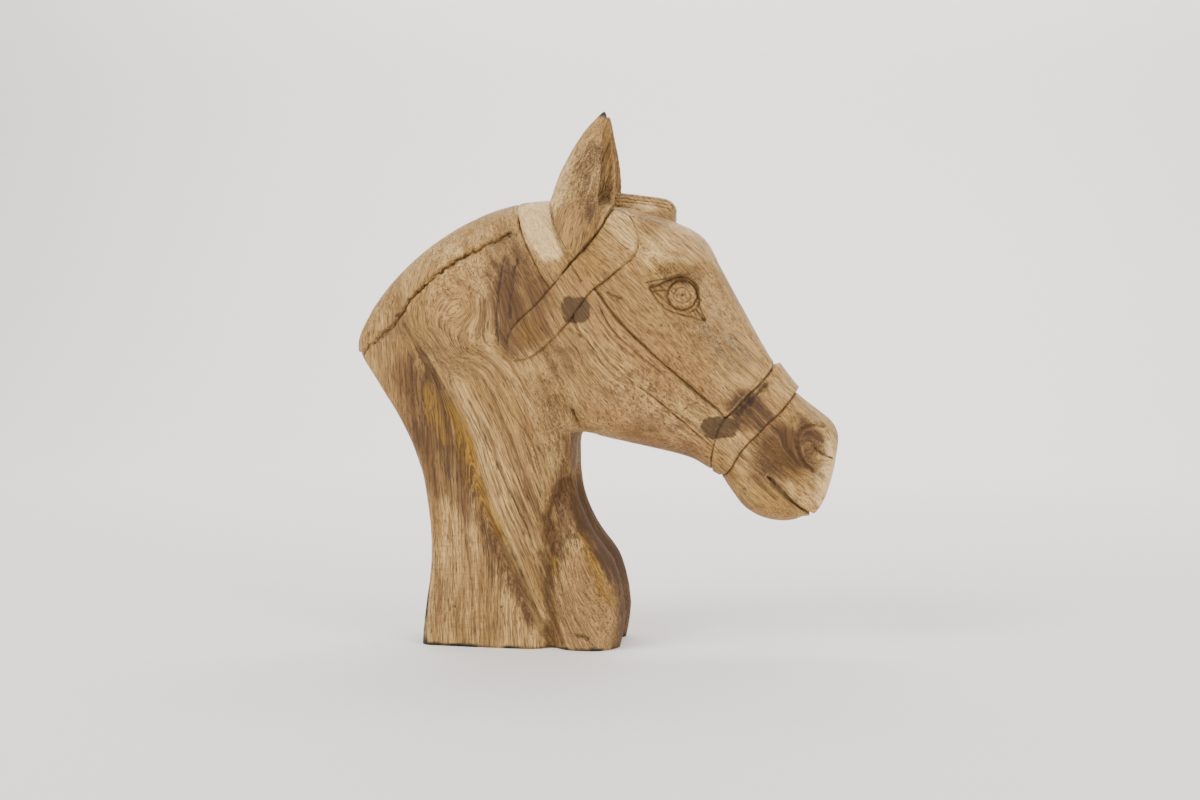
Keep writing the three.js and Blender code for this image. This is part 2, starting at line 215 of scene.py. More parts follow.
# The block's outline, in pairs from the underside up the neck, over the poll and down to
# the lips: crest or forehead x, z, then chest, throat or jaw x, z, in drawn millimetres
form = {
    "outline": [
        (-84.5, 0, 83, 0), (-81.5, 30, 87, 32), (-77.5, 64, 80, 66), (-78, 90, 63, 90), (-81, 114, 52, 112),
        (-87, 143, 46, 138), (-102, 179, 44, 157), (-124, 214, 44, 166), (-139, 240, 45, 171),
        (-129, 266, 46, 171.5), (-109, 294, 47, 171.5), (-80, 320, 48, 171.5), (-47, 341, 50, 171),
        (-11, 354, 53, 170.5), (27, 358, 57, 169.5), (64, 356, 64, 167.5), (97, 350, 76, 165), (122, 341, 90, 162),
        (144.5, 328, 105, 158.5), (158, 304, 122, 154.5), (174, 274, 136, 150), (190, 246, 148, 143.5),
        (204, 223, 158, 138), (220, 203.5, 165.5, 127), (236, 190.5, 176, 113), (248, 180.5, 189, 104.5),
        (252.5, 169.5, 204, 101), (251, 154, 216, 101.5), (247.5, 137, 223, 104), (242, 120, 229, 105),
        (236, 110.5, 232, 107),
    ],
    # half widths at chosen places: x, z, share of half the block
    "widths": [
        (-80, 0, 0.72), (-40, 0, 0.86), (5, 0, 0.92), (45, 0, 1.0), (80, 0, 1.0),
        (-77, 64, 0.66), (-38, 64, 0.84), (5, 64, 0.9), (45, 64, 0.97), (76, 66, 0.94),
        (-81, 114, 0.6), (-40, 114, 0.84), (5, 114, 0.88), (52, 112, 0.82),
        (-95, 165, 0.54), (-55, 160, 0.8), (0, 160, 0.92), (44, 157, 0.78),
        (-124, 214, 0.46), (-80, 214, 0.76), (-30, 214, 0.92), (20, 205, 0.9),
        (-138, 242, 0.4), (-100, 250, 0.66), (-55, 255, 0.92), (0, 250, 0.98), (45, 235, 0.96),
        (-109, 294, 0.42), (-60, 300, 0.74), (-5, 300, 0.97), (45, 290, 0.98),
        (-47, 341, 0.42), (-5, 345, 0.6), (45, 345, 0.84), (92, 345, 0.76),
        (50, 180, 0.78), (75, 215, 1.02), (90, 180, 0.74), (112, 240, 0.88), (88, 268, 1.0),
        (118, 303, 0.96), (130, 281, 0.9), (142, 322, 0.64), (155, 302, 0.62),
        (150, 240, 0.72), (170, 268, 0.5), (132, 200, 0.74), (122, 160, 0.54), (182, 244, 0.46),
        (160, 200, 0.64), (148, 150, 0.44), (196, 222, 0.46), (188, 180, 0.6), (172, 138, 0.44),
        (214, 198, 0.5), (232, 166, 0.64), (212, 150, 0.58), (200, 116, 0.44),
        (248, 160, 0.46), (226, 122, 0.42), (236, 110, 0.2),
    ],
    "widthReach": 30,
    # at which pair, crest rounding, throat rounding, squareness, chest furrow
    "edges": [
        (0, 12, 28, 3.4, 15), (2, 12, 30, 3.4, 18), (4, 12, 27, 3.2, 12), (6, 12, 20, 3, 3), (8, 13, 18, 2.8, 0),
        (12, 15, 18, 2.4, 0), (15, 16, 18, 2.4, 0), (18, 15, 18, 2.6, 0), (21, 12, 15, 3, 0), (25, 15, 15, 2.4, 0),
        (28, 13, 13, 2.2, 0), (30, 3, 3, 2, 0),
    ],
    "moundFall": 1.4,
    # mounds: x, z, reach along and across, turn in degrees, rise
    "mounds": [
        (78, 216, 40, 32, -40, 3), (104, 326, 22, 15, -30, -4), (122, 304, 26, 12, -14, 5),
        (128, 281, 26, 17, -30, -3.5), (163, 238, 36, 16, -54, -3), (231, 166, 20, 18, -45, 5),
        (205, 146, 22, 14, -40, -2.5), (198, 119, 22, 14, -20, 2.5), (55, 58, 22, 56, 6, 5),
        (-30, 286, 56, 32, 25, 2), (-64, 130, 26, 62, 16, -3),
    ],
    # long furrows: line, spread, depth
    "furrows": [
        ([(-94, 257), (-81, 238), (-68, 212), (-55, 189), (-44, 162), (-37, 135), (-24, 106), (-11, 78), (2, 48),
          (18, 21), (26, 2)], 10, 5.2),
        ([(-52, 210), (-38, 180), (-24, 143), (-11, 106), (2, 79), (14, 50), (25, 24)], 10, -2.6),
        ([(38, 140), (37, 129), (27, 109), (23, 87), (22, 67), (25, 40), (26, 2)], 8.5, 5.2),
        ([(36, 232), (36, 205), (46, 174)], 10, 3.5),
    ],
    "rings": 300,
    "around": 150,
    "ringSpacing": (0.65, 0.35),  # how much the crest and the throat each count
    "fineSteps": 1500,
    "sectionSteps": 400,
    "throatSquare": 2.2,
    "furrowFrom": 40,  # before the chest
    "furrowWidth": 0.32,  # share of half the block
}


def widthAt(x, z):
    total, weights = 0, 0
    for wx, wz, share in form["widths"]:
        w = np.exp(-((x - wx) ** 2 + (z - wz) ** 2) / form["widthReach"] ** 2) + 1e-6
        total, weights = total + w * share, weights + w
    return total / weights * side


def edgeShare(distance, depth, power):
    left = 1 - np.clip(distance / depth, 0, 1)
    return (1 - left ** power) ** (1 / power)


def bodyRings():
    outline = np.array(form["outline"], float)
    edges = np.array(form["edges"], float)
    fineT = np.linspace(0, len(outline) - 1, form["fineSteps"])
    points = through(outline, fineT)
    steps = sum(share * np.hypot(*np.diff(points[:, i:i + 2], axis=0).T)
                for share, i in zip(form["ringSpacing"], (0, 2)))
    travel = np.concatenate([[0], np.cumsum(steps)])
    stations = np.interp(np.linspace(0, travel[-1], form["rings"]), travel, fineT)
    half = form["around"] // 2
    rings = []
    for t, (cx, cz, tx, tz) in zip(stations, through(outline, stations)):
        chord = math.hypot(tx - cx, tz - cz)
        i = max(1, int(np.searchsorted(edges[:, 0], t)))
        f = float(smoothstep(np.array(t), edges[i - 1, 0], edges[i, 0]))
        _, crest, throat, square, furrow = edges[i - 1] * (1 - f) + edges[i] * f
        crest, throat = min(crest, chord * 0.5), min(throat, chord * 0.5)
        q = chord * 0.5 * (1 - np.cos(np.linspace(0, math.pi, form["sectionSteps"])))
        x, z = cx + (tx - cx) * q / chord, cz + (tz - cz) * q / chord
        y = widthAt(x, z) * edgeShare(q, crest, square) * edgeShare(chord - q, throat, form["throatSquare"])
        length = np.concatenate([[0], np.cumsum(np.hypot(np.diff(q), np.diff(y)))])
        even = np.linspace(0, length[-1], half + 1)
        q, y = np.interp(even, length, q), np.interp(even, length, y)
        q = q - furrow * smoothstep(q, chord - form["furrowFrom"], chord) * bell(y, form["furrowWidth"] * side)
        near = np.stack([cx + (tx - cx) * q / chord, -y, cz + (tz - cz) * q / chord], 1)
        far = near[1:-1][::-1] * (1, -1, 1)
        rings.append(np.vstack([near, far]))
    rings = np.array(rings)
    rings[0, :, 2] = 0
    return rings


def carvedLift(x, z):
    lift = np.zeros(x.shape)
    for mx, mz, along, across, turn, rise in form["mounds"]:
        lift += rise * np.exp(-form["moundFall"] * ovalReach(x, z, (mx, mz), (along, across), turn))
    for line, spread, depth in form["furrows"]:
        distance, _ = lineDistance(x, z, line)
        lift -= depth * bell(distance, spread)
    return lift


# Ears: centre x, z, half width, half thickness, y share, hollow share. The hollow opens
# forward and a little outward, inside a blunt rim.
ear = {
    "levels": [
        (45, 305, 2, 4, 0.88, 0), (44.5, 320, 10, 10, 0.8, 0), (47, 337, 19.5, 13, 0.7, 0.25),
        (49.5, 357, 25.8, 14, 0.6, 1), (53, 378, 23.6, 13, 0.52, 1), (56.2, 396, 17.9, 11, 0.45, 0.95),
        (59.2, 411, 11.8, 8, 0.39, 0.7), (62.2, 422, 6.2, 4.5, 0.34, 0.2), (64.7, 430, 0.8, 0.8, 0.31, 0),
    ],
    "around": 120,
    "rings": 140,
    "opening": 0.74,
    "rimWidth": 0.13,
    "outward": 0.36,
    "hollow": (0.60, 0.80, 0.52),  # middle, depth and half width, as shares of the ear's
    "hollowArc": 0.53,
    "slack": 1.2,  # how far round the ear its own wood reaches
    "foot": (350, 364),  # up to here, fading out to here, the straps meet the ear
    "proudFoot": (303, 312, 348, 364),
    "footSlack": -1.0,
    "footRise": 2.8,
    # the brow band's upper edge under the ear: x, z
    "bandEdge": ([41, 53, 65, 74, 78], [306, 320, 335, 351, 354]),
}


def earRings(sign):
    rings = []
    a = np.linspace(-math.pi, math.pi, ear["around"], endpoint=False)
    low, high = ear["opening"] - ear["rimWidth"], ear["opening"]
    b = math.pi * ear["hollowArc"] * np.clip(a / low, -1, 1)
    middle, deep, broad = ear["hollow"]
    inner = np.stack([middle - deep * np.cos(b), broad * np.sin(b)])
    outer = np.stack([np.cos(a), np.sin(a)])
    share = fadeOut(np.abs(a), low, high)
    c, s = math.cos(ear["outward"]), math.sin(ear["outward"])
    levels = through(ear["levels"], np.linspace(0, len(ear["levels"]) - 1, ear["rings"]))
    for x, z, wide, thick, out, hollow in levels:
        h = np.clip(hollow, 0, 1) * share
        p, q = outer * (1 - h) + inner * h
        u, v = p * c - q * s, p * s + q * c
        wide, thick = max(wide, 0.5), max(thick, 0.5)
        rings.append(np.stack([x + wide * u, sign * (out * side + thick * v), np.full(a.shape, z)], 1))
    return rings


# 1 on the ears, 0 off them, from the ears' own levels
def earShare(x, y, z):
    levels = np.array(ear["levels"])
    middle, wide, thick, out = (np.interp(z, levels[:, 1], levels[:, n]) for n in (0, 2, 3, 4))
    low = fadeOut(z, *ear["foot"])
    trim = ear["slack"] + (ear["footSlack"] - ear["slack"]) * low
    u = (x - middle) / np.maximum(wide + trim, 1)
    v = (np.abs(y) - out * side) / (thick + ear["slack"])
    v = v * np.where(v > 0, 1 - low, 1)
    onBand = smoothstep(z - np.interp(x, *ear["bandEdge"]), -0.6, 0.6)
    return fadeOut(np.hypot(u, v), 1.0, 1.12) * onBand


# Forelock: x, top z, half width, underside z
forelock = {
    "levels": [
        (40, 354, 12, 338), (54, 363, 16, 338), (68, 366, 18, 338), (82, 365, 18.5, 336), (96, 363, 18.5, 334),
        (108, 361.5, 17.5, 334), (116, 359.5, 16, 337), (120.5, 355, 13, 342), (121.5, 351, 9, 346),
    ],
    "around": 120,
    "rings": 120,
    "square": 0.7,
    "strands": 5,
    "sideStrands": (2.6, 5.2, 7.8),  # below the top
    "sideWidth": 0.75,
    "grooveDepth": 2.2,
}


# The fine strands along the forelock's sides: how much each point lies in a groove
def strandShare(x, y, z, normals):
    levels = np.array(forelock["levels"])
    top = np.interp(x, levels[:, 0], levels[:, 1])
    share = np.zeros(x.shape)
    for drop in forelock["sideStrands"]:
        wave = 0.5 * noise(x / 9, y / 30, z / 30 + drop)
        share = np.maximum(share, bell(top - z - drop + wave, forelock["sideWidth"]))
    beside = smoothstep(np.abs(normals[:, 1]) + np.maximum(normals[:, 0], 0), 0.25, 0.6)
    return share * beside * smoothstep(x, 66, 76) * (x < 126) * (np.abs(y) < 24) * (z > 345)


def forelockRings():
    rings = []
    a = np.linspace(0, 2 * math.pi, forelock["around"], endpoint=False)
    c, s = (np.sign(v) * np.abs(v) ** forelock["square"] for v in (np.cos(a), np.sin(a)))
    strand = np.abs(np.cos(forelock["strands"] * math.pi * (c + 1) / 2)) ** 6
    groove = forelock["grooveDepth"] * strand * (s > 0)
    levels = through(forelock["levels"], np.linspace(0, len(forelock["levels"]) - 1, forelock["rings"]))
    for x, top, wide, under in levels:
        z = (top + under) / 2 + (top - under) / 2 * s - groove
        rings.append(np.stack([np.full(a.shape, x), c * wide, z], 1))
    return rings


# The halter and the carved lines, in the side view
# outline, rise, groove depth, groove width, how dark the painted shade in the groove is
straps = {
    "mane": ([(-150, 236), (-132, 236), (-114, 253), (-100, 264), (-93, 279), (-78, 293), (-58, 308), (-37, 319),
              (-8, 330), (0, 331), (-6, 372), (-100, 360), (-165, 270)], 1.8, 0.5, 1.0, 0.3),
    "crownStrap": ([(-10, 374), (34, 374), (27, 345), (36, 325), (46, 309), (62, 288), (46, 268), (25, 286),
                    (12, 308), (0, 331)], 1.9, 1.2, 0.8, 0.85),
    "cheekStrap": ([(38, 266), (58, 290), (66, 279), (75, 266), (92, 248), (109, 233), (126, 217), (144, 202),
                    (166, 183), (168, 146), (145, 168), (129, 182), (113, 196), (97, 209), (65, 233)],
                   1.7, 1.1, 0.9, 0.8),
    "browBand": ([(73, 352), (87, 345), (92, 334), (95, 323), (92, 312), (81, 303), (69, 293), (59, 286), (49, 273),
                  (39, 259), (25, 245), (11, 233), (-3, 229), (-10, 234), (-9, 246), (-5, 257), (11, 271), (25, 286),
                  (41, 306), (53, 320), (65, 335)], 2.0, 1.2, 0.8, 0.85),
}
# where the edges of the straps are worn: x, z, reach, share that is left of the groove
wornEdges = [
    (97, 330, 20, 0.45), (88, 306, 10, 0.3), (66, 240, 26, 0.12), (96, 214, 18, 0.3), (26, 243, 16, 0.55),
    (-7, 238, 18, 0.2), (4, 352, 14, 0.5), (150, 166, 8, 0.6),
]
noseband = {
    "outline": [(158, 181), (169, 189), (181, 203), (190, 211), (198, 221), (208, 240), (233, 222), (219, 206),
                (209, 192), (196, 180), (186, 169), (175, 159), (163, 136), (148, 140)],
    "upperEdge": slice(0, 6),  # these points of the outline
    "sideRise": 1.4,
    "bridgeRise": 4.4,
    "groove": (0.9, 1.1, 0.85),  # width, depth, how dark
    "lip": (1.8, 1.4, 1.8),  # how far inside the upper edge, width, rise
    "pocket": [(167, 184), (177, 193), (186, 202), (195, 211)],
    "pocketCut": (3.4, 2.8, 0.9),  # width, depth, how dark
}
# carved or cracked lines: points, depth, width, how ragged, how dark the painted shade in the line is
lines = {
    "maneCrack": ([(-104, 262), (-99, 268), (-92, 279), (-77, 293), (-57, 308), (-36, 319.5), (-14, 329), (-6, 332)],
                  3.0, 1.0, 1.3, 1.0),
    "maneSplinters": ([(-66, 300), (-50, 309), (-38, 317), (-20, 324), (-8, 328)], 1.4, 2.0, 1.8, 0.5),
    "cornerPits": ([(-136, 233), (-122, 245), (-112, 253), (-103, 261)], 1.6, 1.8, 2.2, 0.55),
    "crease": ([(-99, 262), (-93, 252), (-86, 242), (-75, 229), (-69, 216), (-62, 206)], 1.1, 1.4, 0.8, 0.5),
    "creaseSecond": ([(-94, 256), (-83, 247), (-72, 238)], 0.5, 0.8, 0.8, 0.45),
    "cheekUpper": ([(62, 285), (68, 276), (77, 264), (93, 247), (109, 232), (126, 216), (144, 201), (160, 187)],
                   1.3, 1.4, 0.6, 0.9),
    "cheekSecond": ([(63, 276), (69, 263), (77, 251), (90, 239), (105, 227), (118, 217)], 1.1, 0.9, 0.6, 0.85),
    "jawSecond": ([(118, 197), (130, 186), (146, 171), (163, 152)], 0.9, 0.7, 0.6, 0.7),
    "strapCross": ([(128, 189), (137, 197), (146, 197)], 0.7, 0.7, 0.6, 0.6),
    "bandSplit": ([(39, 309), (44, 302), (51, 291)], 1.2, 0.8, 0.3, 0.9),
    "templeCheck": ([(70, 284), (75, 281), (82, 279)], 1.2, 0.9, 1.6, 0.75),
    "throatSplit": ([(41, 192), (44, 184), (48, 172)], 2.2, 1.2, 0.6, 0.9),
    "patchKnot": ([(38, 256), (44, 252), (51, 249)], 1.1, 1.4, 2.0, 0.75),
    "earBack": ([(25, 354), (26, 344), (31, 330), (38, 317), (46, 308)], 1.5, 1.0, 0.5, 0.8),
    "earFront": ([(77, 355), (74, 351), (65, 335), (53, 320), (41, 306), (33, 296)], 1.8, 1.0, 0.4, 0.95),
    "bandPit": ([(80, 321), (84, 318), (88, 318)], 0.7, 1.2, 1.8, 0.6),
    "fanOne": ([(-11, 316), (-14, 300), (-17, 279), (-18, 262), (-16, 240)], 0.8, 1.4, 1.0, 0.95),
    "fanTwo": ([(-1, 312), (-4, 296), (-6, 279), (-7, 262)], 0.8, 1.5, 1.0, 0.95),
    "bandGrain": ([(3, 268), (7, 252), (10, 238)], 0.4, 0.9, 1.2, 0.4),
    "columnOne": ([(-42, 200), (-35, 186), (-24, 159), (-9, 127), (1, 109), (11, 84)], 0.8, 1.0, 1.0, 0.85),
    "columnTwo": ([(-14, 204), (-9, 191), (7, 171), (21, 151)], 0.6, 1.0, 1.2, 0.65),
    "columnThree": ([(-12, 160), (-4, 140), (8, 118)], 0.5, 0.8, 0.9, 0.65),
    "valleyCrack": ([(-14, 92), (-2, 66), (8, 44), (18, 18)], 0.8, 1.2, 1.4, 0.65),
    "chestSplit": ([(33, 152), (36, 141), (39, 132)], 0.9, 1.5, 1.2, 0.7),
    "lobeValley": ([(37, 140), (31, 122), (26, 106), (23, 88), (22, 68), (24, 42), (26, 8)], 1.8, 4.2, 0.8, 0.4),
    "lobeEdge": ([(30, 121), (25, 108), (23, 92), (25, 74)], 0.4, 1.3, 1.6, 0.4),
    "lobeKnot": ([(45, 11), (50, 13), (56, 10)], 1.0, 2.0, 1.4, 0.85),
    "sawOne": ([(-74, 118), (-71, 80), (-70, 40), (-69, 6)], 0.35, 0.8, 0.9, 0.65),
    "sawTwo": ([(-60, 112), (-55, 70), (-53, 36), (-52, 5)], 0.35, 0.8, 0.9, 0.65),
    "sawThree": ([(-48, 100), (-41, 64), (-38, 34), (-36, 5)], 0.35, 0.8, 0.9, 0.65),
    "sawFour": ([(-30, 84), (-22, 52), (-18, 26), (-16, 5)], 0.35, 0.8, 0.9, 0.65),
}
lineReach = 12  # how far round a line its points are looked for
pinHoles = {
    "places": [(-54, 32), (-15, 33), (-11, 215), (127, 233), (20, 214)],
    "width": 1.0,
    "depth": 1.2,
}
eye = {
    "about": (125, 279, 38),  # middle and reach of the carving
    "centre": (129, 281.5),
    "ball": 11.2,
    "ballRise": 5.0,
    "sunk": 2.0,
    "uneven": 0.45,
    "rings": [(11.2, 1.0, 0.9), (6.2, 0.75, 0.75), (3.3, 0.45, 0.6)],  # radius, depth, width
    "pupil": (1.9, 1.6),  # width, depth
    "almond": [(102, 288), (110, 290), (117, 293), (124, 296), (131, 296.5), (138, 293), (142, 287), (142, 278),
               (143, 270), (149, 260), (138, 264), (129, 266), (121, 268), (113, 273), (108, 280)],
    "folds": [([(99, 291), (110, 293.5), (118, 295)], 0.9), ([(105, 284.5), (112, 285), (118, 286)], 1.0),
              ([(139, 271), (143, 266), (148, 260)], 1.4), ([(120, 273), (115, 278), (108, 284)], 0.8),
              ([(134, 268), (141, 272), (144, 279)], 0.9), ([(97, 296), (108, 298), (117, 301)], 0.5)],
    "foldWidth": 0.8,
    "lid": [(110, 290), (117, 294), (124, 297.5), (131, 298.5), (139, 295), (144, 288), (144.5, 279)],
    "lidShape": (1.6, 2.0, 2.0),  # how far from its line, width, rise
    "rimDepth": 1.5,
}
nostril = {
    "rim": [(240, 178), (231, 180), (222, 176), (218.5, 168), (220.5, 158), (225, 149), (232, 143)],
    "flap": [(233, 161), (239, 156), (247, 153)],
    "rimCut": (1.1, 1.0, 0.55),  # width, depth, how dark
    "rimRise": (2.8, 1.6, 1.2),  # how far from the rim, width, rise
    "flapCut": (0.9, 1.2),  # width, depth
    "pocket": ((238, 160), (8.5, 5), -40),  # middle, reach, turn
    "pocketCut": (3.4, 0.6),  # depth, how dark
}
mouth = {
    "slit": [(195, 139), (200, 134), (206, 127.5), (212, 121), (219, 114.5), (228, 108), (236, 104)],
    "width": 1.0,
    "gape": (0.35, 0.2, 1.9),  # where along the slit it gapes, over what share, how much wider
    "depth": 4.0,
}


def carvedLines(x, z, y):
    lift, dark = np.zeros(x.shape), np.zeros(x.shape)
    for line, depth, width, ragged, shade in lines.values():
        points = rounded(line, 2, False)
        low, high = points.min(0) - lineReach, points.max(0) + lineReach
        near = (x > low[0]) & (x < high[0]) & (z > low[1]) & (z < high[1])
        px, pz, py = x[near], z[near], y[near]
        wobble = 0.9 * ragged * noise(px / 3.1, py / 5 + 3, pz / 3.1)
        distance, along = lineDistance(px + wobble, pz - wobble, points)
        local = width * (1 + 0.5 * ragged * noise(px / 7, py / 9, pz / 7))
        share = fadedEnds(along, 0.12) * bell(distance, np.maximum(local, 0.3))
        lift[near] -= depth * share * (1 + 0.35 * ragged * noise(px / 4, py / 4, pz / 4))
        broken = np.clip(0.95 + 0.6 * ragged * noise(px / 5 + 4, py / 7, pz / 5), 0.25, 1)
        dark[near] = np.maximum(dark[near], share * shade * broken)
    for px, pz in pinHoles["places"]:
        lift, dark = cutIn(lift, dark, bell(np.hypot(x - px, z - pz), pinHoles["width"]), pinHoles["depth"])
    return lift, dark


def eyeCarving(x, y, z):
    lift, dark = np.zeros(x.shape), np.zeros(x.shape)
    x = x + eye["uneven"] * noise(x / 4, y / 6, z / 4)
    z = z + eye["uneven"] * noise(x / 4 + 9, y / 6, z / 4)
    almond = insideDistance(x, z, rounded(eye["almond"]))
    radius = np.hypot(x - eye["centre"][0], z - eye["centre"][1])
    dome = np.sqrt(np.clip(1 - (radius / eye["ball"]) ** 2, 0, 1))
    lift -= eye["sunk"] * smoothstep(almond, -0.5, 1.2)
    lift += eye["ballRise"] * dome * smoothstep(almond, -1.5, 0.5)
    for size, depth, width in eye["rings"]:
        lift, dark = cutIn(lift, dark, bell(radius - size, width) * (almond > -1), depth, depth)
    width, depth = eye["pupil"]
    lift, dark = cutIn(lift, dark, bell(radius, width), depth)
    upper = smoothstep(z, 276, 290)
    lift, dark = cutIn(lift, dark, bell(almond, 0.8 + 0.7 * upper), eye["rimDepth"], 0.85 + 0.15 * upper)
    lid, _ = lineDistance(x, z, rounded(eye["lid"], 2, False))
    away, width, rise = eye["lidShape"]
    lift += rise * bell(lid - away, width) * (almond < 0)
    for fold, depth in eye["folds"]:
        distance, along = lineDistance(x, z, rounded(fold, 2, False))
        share = bell(distance, eye["foldWidth"]) * fadedEnds(along, 0.2)
        lift, dark = cutIn(lift, dark, share, depth, min(0.95, depth))
    return lift, dark


def raised(lift, dark, distance, edge, rise):
    inside = smoothstep(distance, -0.2, edge)
    return lift * (1 - inside) + rise * inside, dark * (1 - inside)


def haltered(x, y, z, facing, onTop):
    lift, dark, kept = np.zeros(x.shape), np.zeros(x.shape), np.ones(x.shape)
    for wx, wz, reach, left in wornEdges:
        kept *= 1 - (1 - left) * bell(np.hypot(x - wx, z - wz), reach)
    kept *= 1 + 0.35 * noise(x / 8, y / 8, z / 8)
    wander = 0.35 * noise(x / 6, y / 6 + 5, z / 6)
    for outline, rise, depth, width, shade in straps.values():
        distance = insideDistance(x, z, rounded(outline)) + wander
        lift, dark = raised(lift, dark, distance, 1.1, rise)
        lift, dark = cutIn(lift, dark, bell(distance, width) * kept, depth, shade)

    distance = insideDistance(x, z, rounded(noseband["outline"])) + wander
    rise = noseband["sideRise"] + (noseband["bridgeRise"] - noseband["sideRise"]) * smoothstep(onTop, 0.1, 0.6)
    lift, dark = raised(lift, dark, distance, 1.3, rise)
    width, depth, shade = noseband["groove"]
    lift, dark = cutIn(lift, dark, bell(distance, width), depth, shade)
    upper, _ = lineDistance(x, z, rounded(noseband["outline"][noseband["upperEdge"]], 2, False))
    away, width, rise = noseband["lip"]
    lift += rise * facing * bell(upper - away, width) * (distance < 0)
    pocket, along = lineDistance(x, z, noseband["pocket"])
    pocket = pocket + 1.6 * noise(x / 3, y / 3, z / 3)
    width, depth, shade = noseband["pocketCut"]
    share = bell(pocket, width) * smoothstep(distance, 0, 1.2) * smoothstep(along, 0, 0.2)
    return cutIn(lift, dark, share * facing, depth, shade)


def muzzleCarving(x, y, z, lift, dark, facing, sideways):
    rim, _ = lineDistance(x, z, rounded(nostril["rim"], 2, False))
    width, depth, shade = nostril["rimCut"]
    lift, dark = cutIn(lift, dark, bell(rim, width) * facing, depth, shade)
    away, width, rise = nostril["rimRise"]
    lift = lift + rise * bell(rim - away, width) * facing
    flap, _ = lineDistance(x, z, nostril["flap"])
    width, depth = nostril["flapCut"]
    lift, dark = cutIn(lift, dark, bell(flap, width) * sideways, depth)
    share = np.exp(-ovalReach(x, z, *nostril["pocket"]) ** 1.5) * sideways
    lift, dark = cutIn(lift, dark, share, *nostril["pocketCut"])
    slit, along = lineDistance(x + 0.5 * noise(x / 3, y / 3, z / 3), z, rounded(mouth["slit"], 2, False))
    place, reach, wider = mouth["gape"]
    width = mouth["width"] + wider * bell(along - place, reach)
    return cutIn(lift, dark, bell(slit, width) * smoothstep(along, 0, 0.15), mouth["depth"])


def fineCarving(points, normals):
    x, y, z = points.T
    across = np.abs(normals[:, 1])
    facing, sideways = smoothstep(across, 0.3, 0.65), smoothstep(across, 0.15, 0.4)
    onTop = (1 - across) * smoothstep(normals[:, 2], 0.1, 0.6)
    lift, dark = haltered(x, y, z, facing, onTop)

    # the ears cover the straps and stand a little proud of them
    onEar = earShare(x, y, z)
    start, whole, full, gone = ear["proudFoot"]
    foot = onEar * fadeOut(z, full, gone) * smoothstep(z, start, whole)
    lift, dark = lift * (1 - onEar) + ear["footRise"] * foot, dark * (1 - onEar)
    cutLift, cutDark = carvedLines(x, z, y)
    lift += cutLift * facing
    dark = np.maximum(dark, cutDark * facing)

    cx, cz, reach = eye["about"]
    near = (np.hypot(x - cx, z - cz) < reach) & (facing > 0)
    eyeLift, eyeDark = eyeCarving(x[near], y[near], z[near])
    lift[near] += eyeLift * facing[near]
    dark[near] = np.maximum(dark[near], eyeDark * facing[near])
    return muzzleCarving(x, y, z, lift, dark, facing, sideways)


# short cracks in the back of each ear
earCracks = [
    ([(46, 396), (45, 384), (45, 375)], 0.5, 0.8), ([(46, 376), (48, 364), (50, 354), (52, 344)], 0.8, 1.0),
    ([(55, 388), (54, 376), (54, 364), (55, 352)], 0.5, 0.8), ([(52, 343), (48, 332), (46, 322)], 0.4, 0.9),
]


def earCarving(points, normals):
    x, y, z = points.T
    lift, dark = np.zeros(x.shape), np.zeros(x.shape)
    near = (z > 315) & (np.abs(y) > 14) & (x < 85) & (x > 15)
    px, py, pz = x[near], y[near], z[near]
    own, shade = np.zeros(px.shape), np.zeros(px.shape)
    backward = smoothstep(np.sign(py) * normals[near, 1], 0.15, 0.5)
    wobble = 1.3 * noise(px / 3, py / 4, pz / 4)
    uneven = 0.7 + 0.6 * noise(px / 4, py / 4, pz / 5)
    for line, depth, width in earCracks:
        distance, along = lineDistance(px + wobble, pz, line)
        own, shade = cutIn(own, shade, bell(distance, width) * fadedEnds(along, 0.15) * backward * uneven, depth, 0.5)
    lift[near], dark[near] = own, np.clip(shade, 0, 1)
    return lift, dark


def tellStage(words):
    print("stage:", words, flush=True)


# The carved head as one closed mesh
skin = {
    "voxel": 0.85,
    "faces": 194000,
    "smoothing": (0.5, 6),  # factor, rounds
    "rims": (345, 84),  # above this z and behind this x the ears' rims are smoothed once more
    "tips": (400, 429.4),  # the ears are drawn up from here to here
    "strandDepth": 0.8,
    "toolMarks": [(0.4, 22), (0.16, 7)],  # depth, size
    "lowest": 0.01,
    "endReach": 14,
    "endGap": 0.1,
}


# a closed mesh whose signed volume is below zero is inside out
def turnOutward(mesh):
    points, _ = pointsOf(mesh)
    mesh.calc_loop_triangles()
    a, b, c = points[np.array([triangle.vertices[:] for triangle in mesh.loop_triangles]).T]
    if np.einsum("ij,ij->i", a, np.cross(b, c)).sum() < 0:
        mesh.flip_normals()


def applyModifier(piece, name, kind, **settings):
    modifier = piece.modifiers.new(name, kind)
    for key, value in settings.items():
        setattr(modifier, key, value)
    bpy.ops.object.modifier_apply(modifier=name)


# the back corner and the nose end just inside the block
def insideBlock(points):
    for end, limit in ((-1, -cadLow.x / mm), (1, cadHigh.x / mm)):
        limit -= skin["endGap"]
        reach, start = (points[:, 0] * end).max(), limit - skin["endReach"]
        beyond = points[:, 0] * end > start
        if reach > limit:
            points[beyond, 0] = end * (start + (points[beyond, 0] * end - start) * (limit - start) / (reach - start))


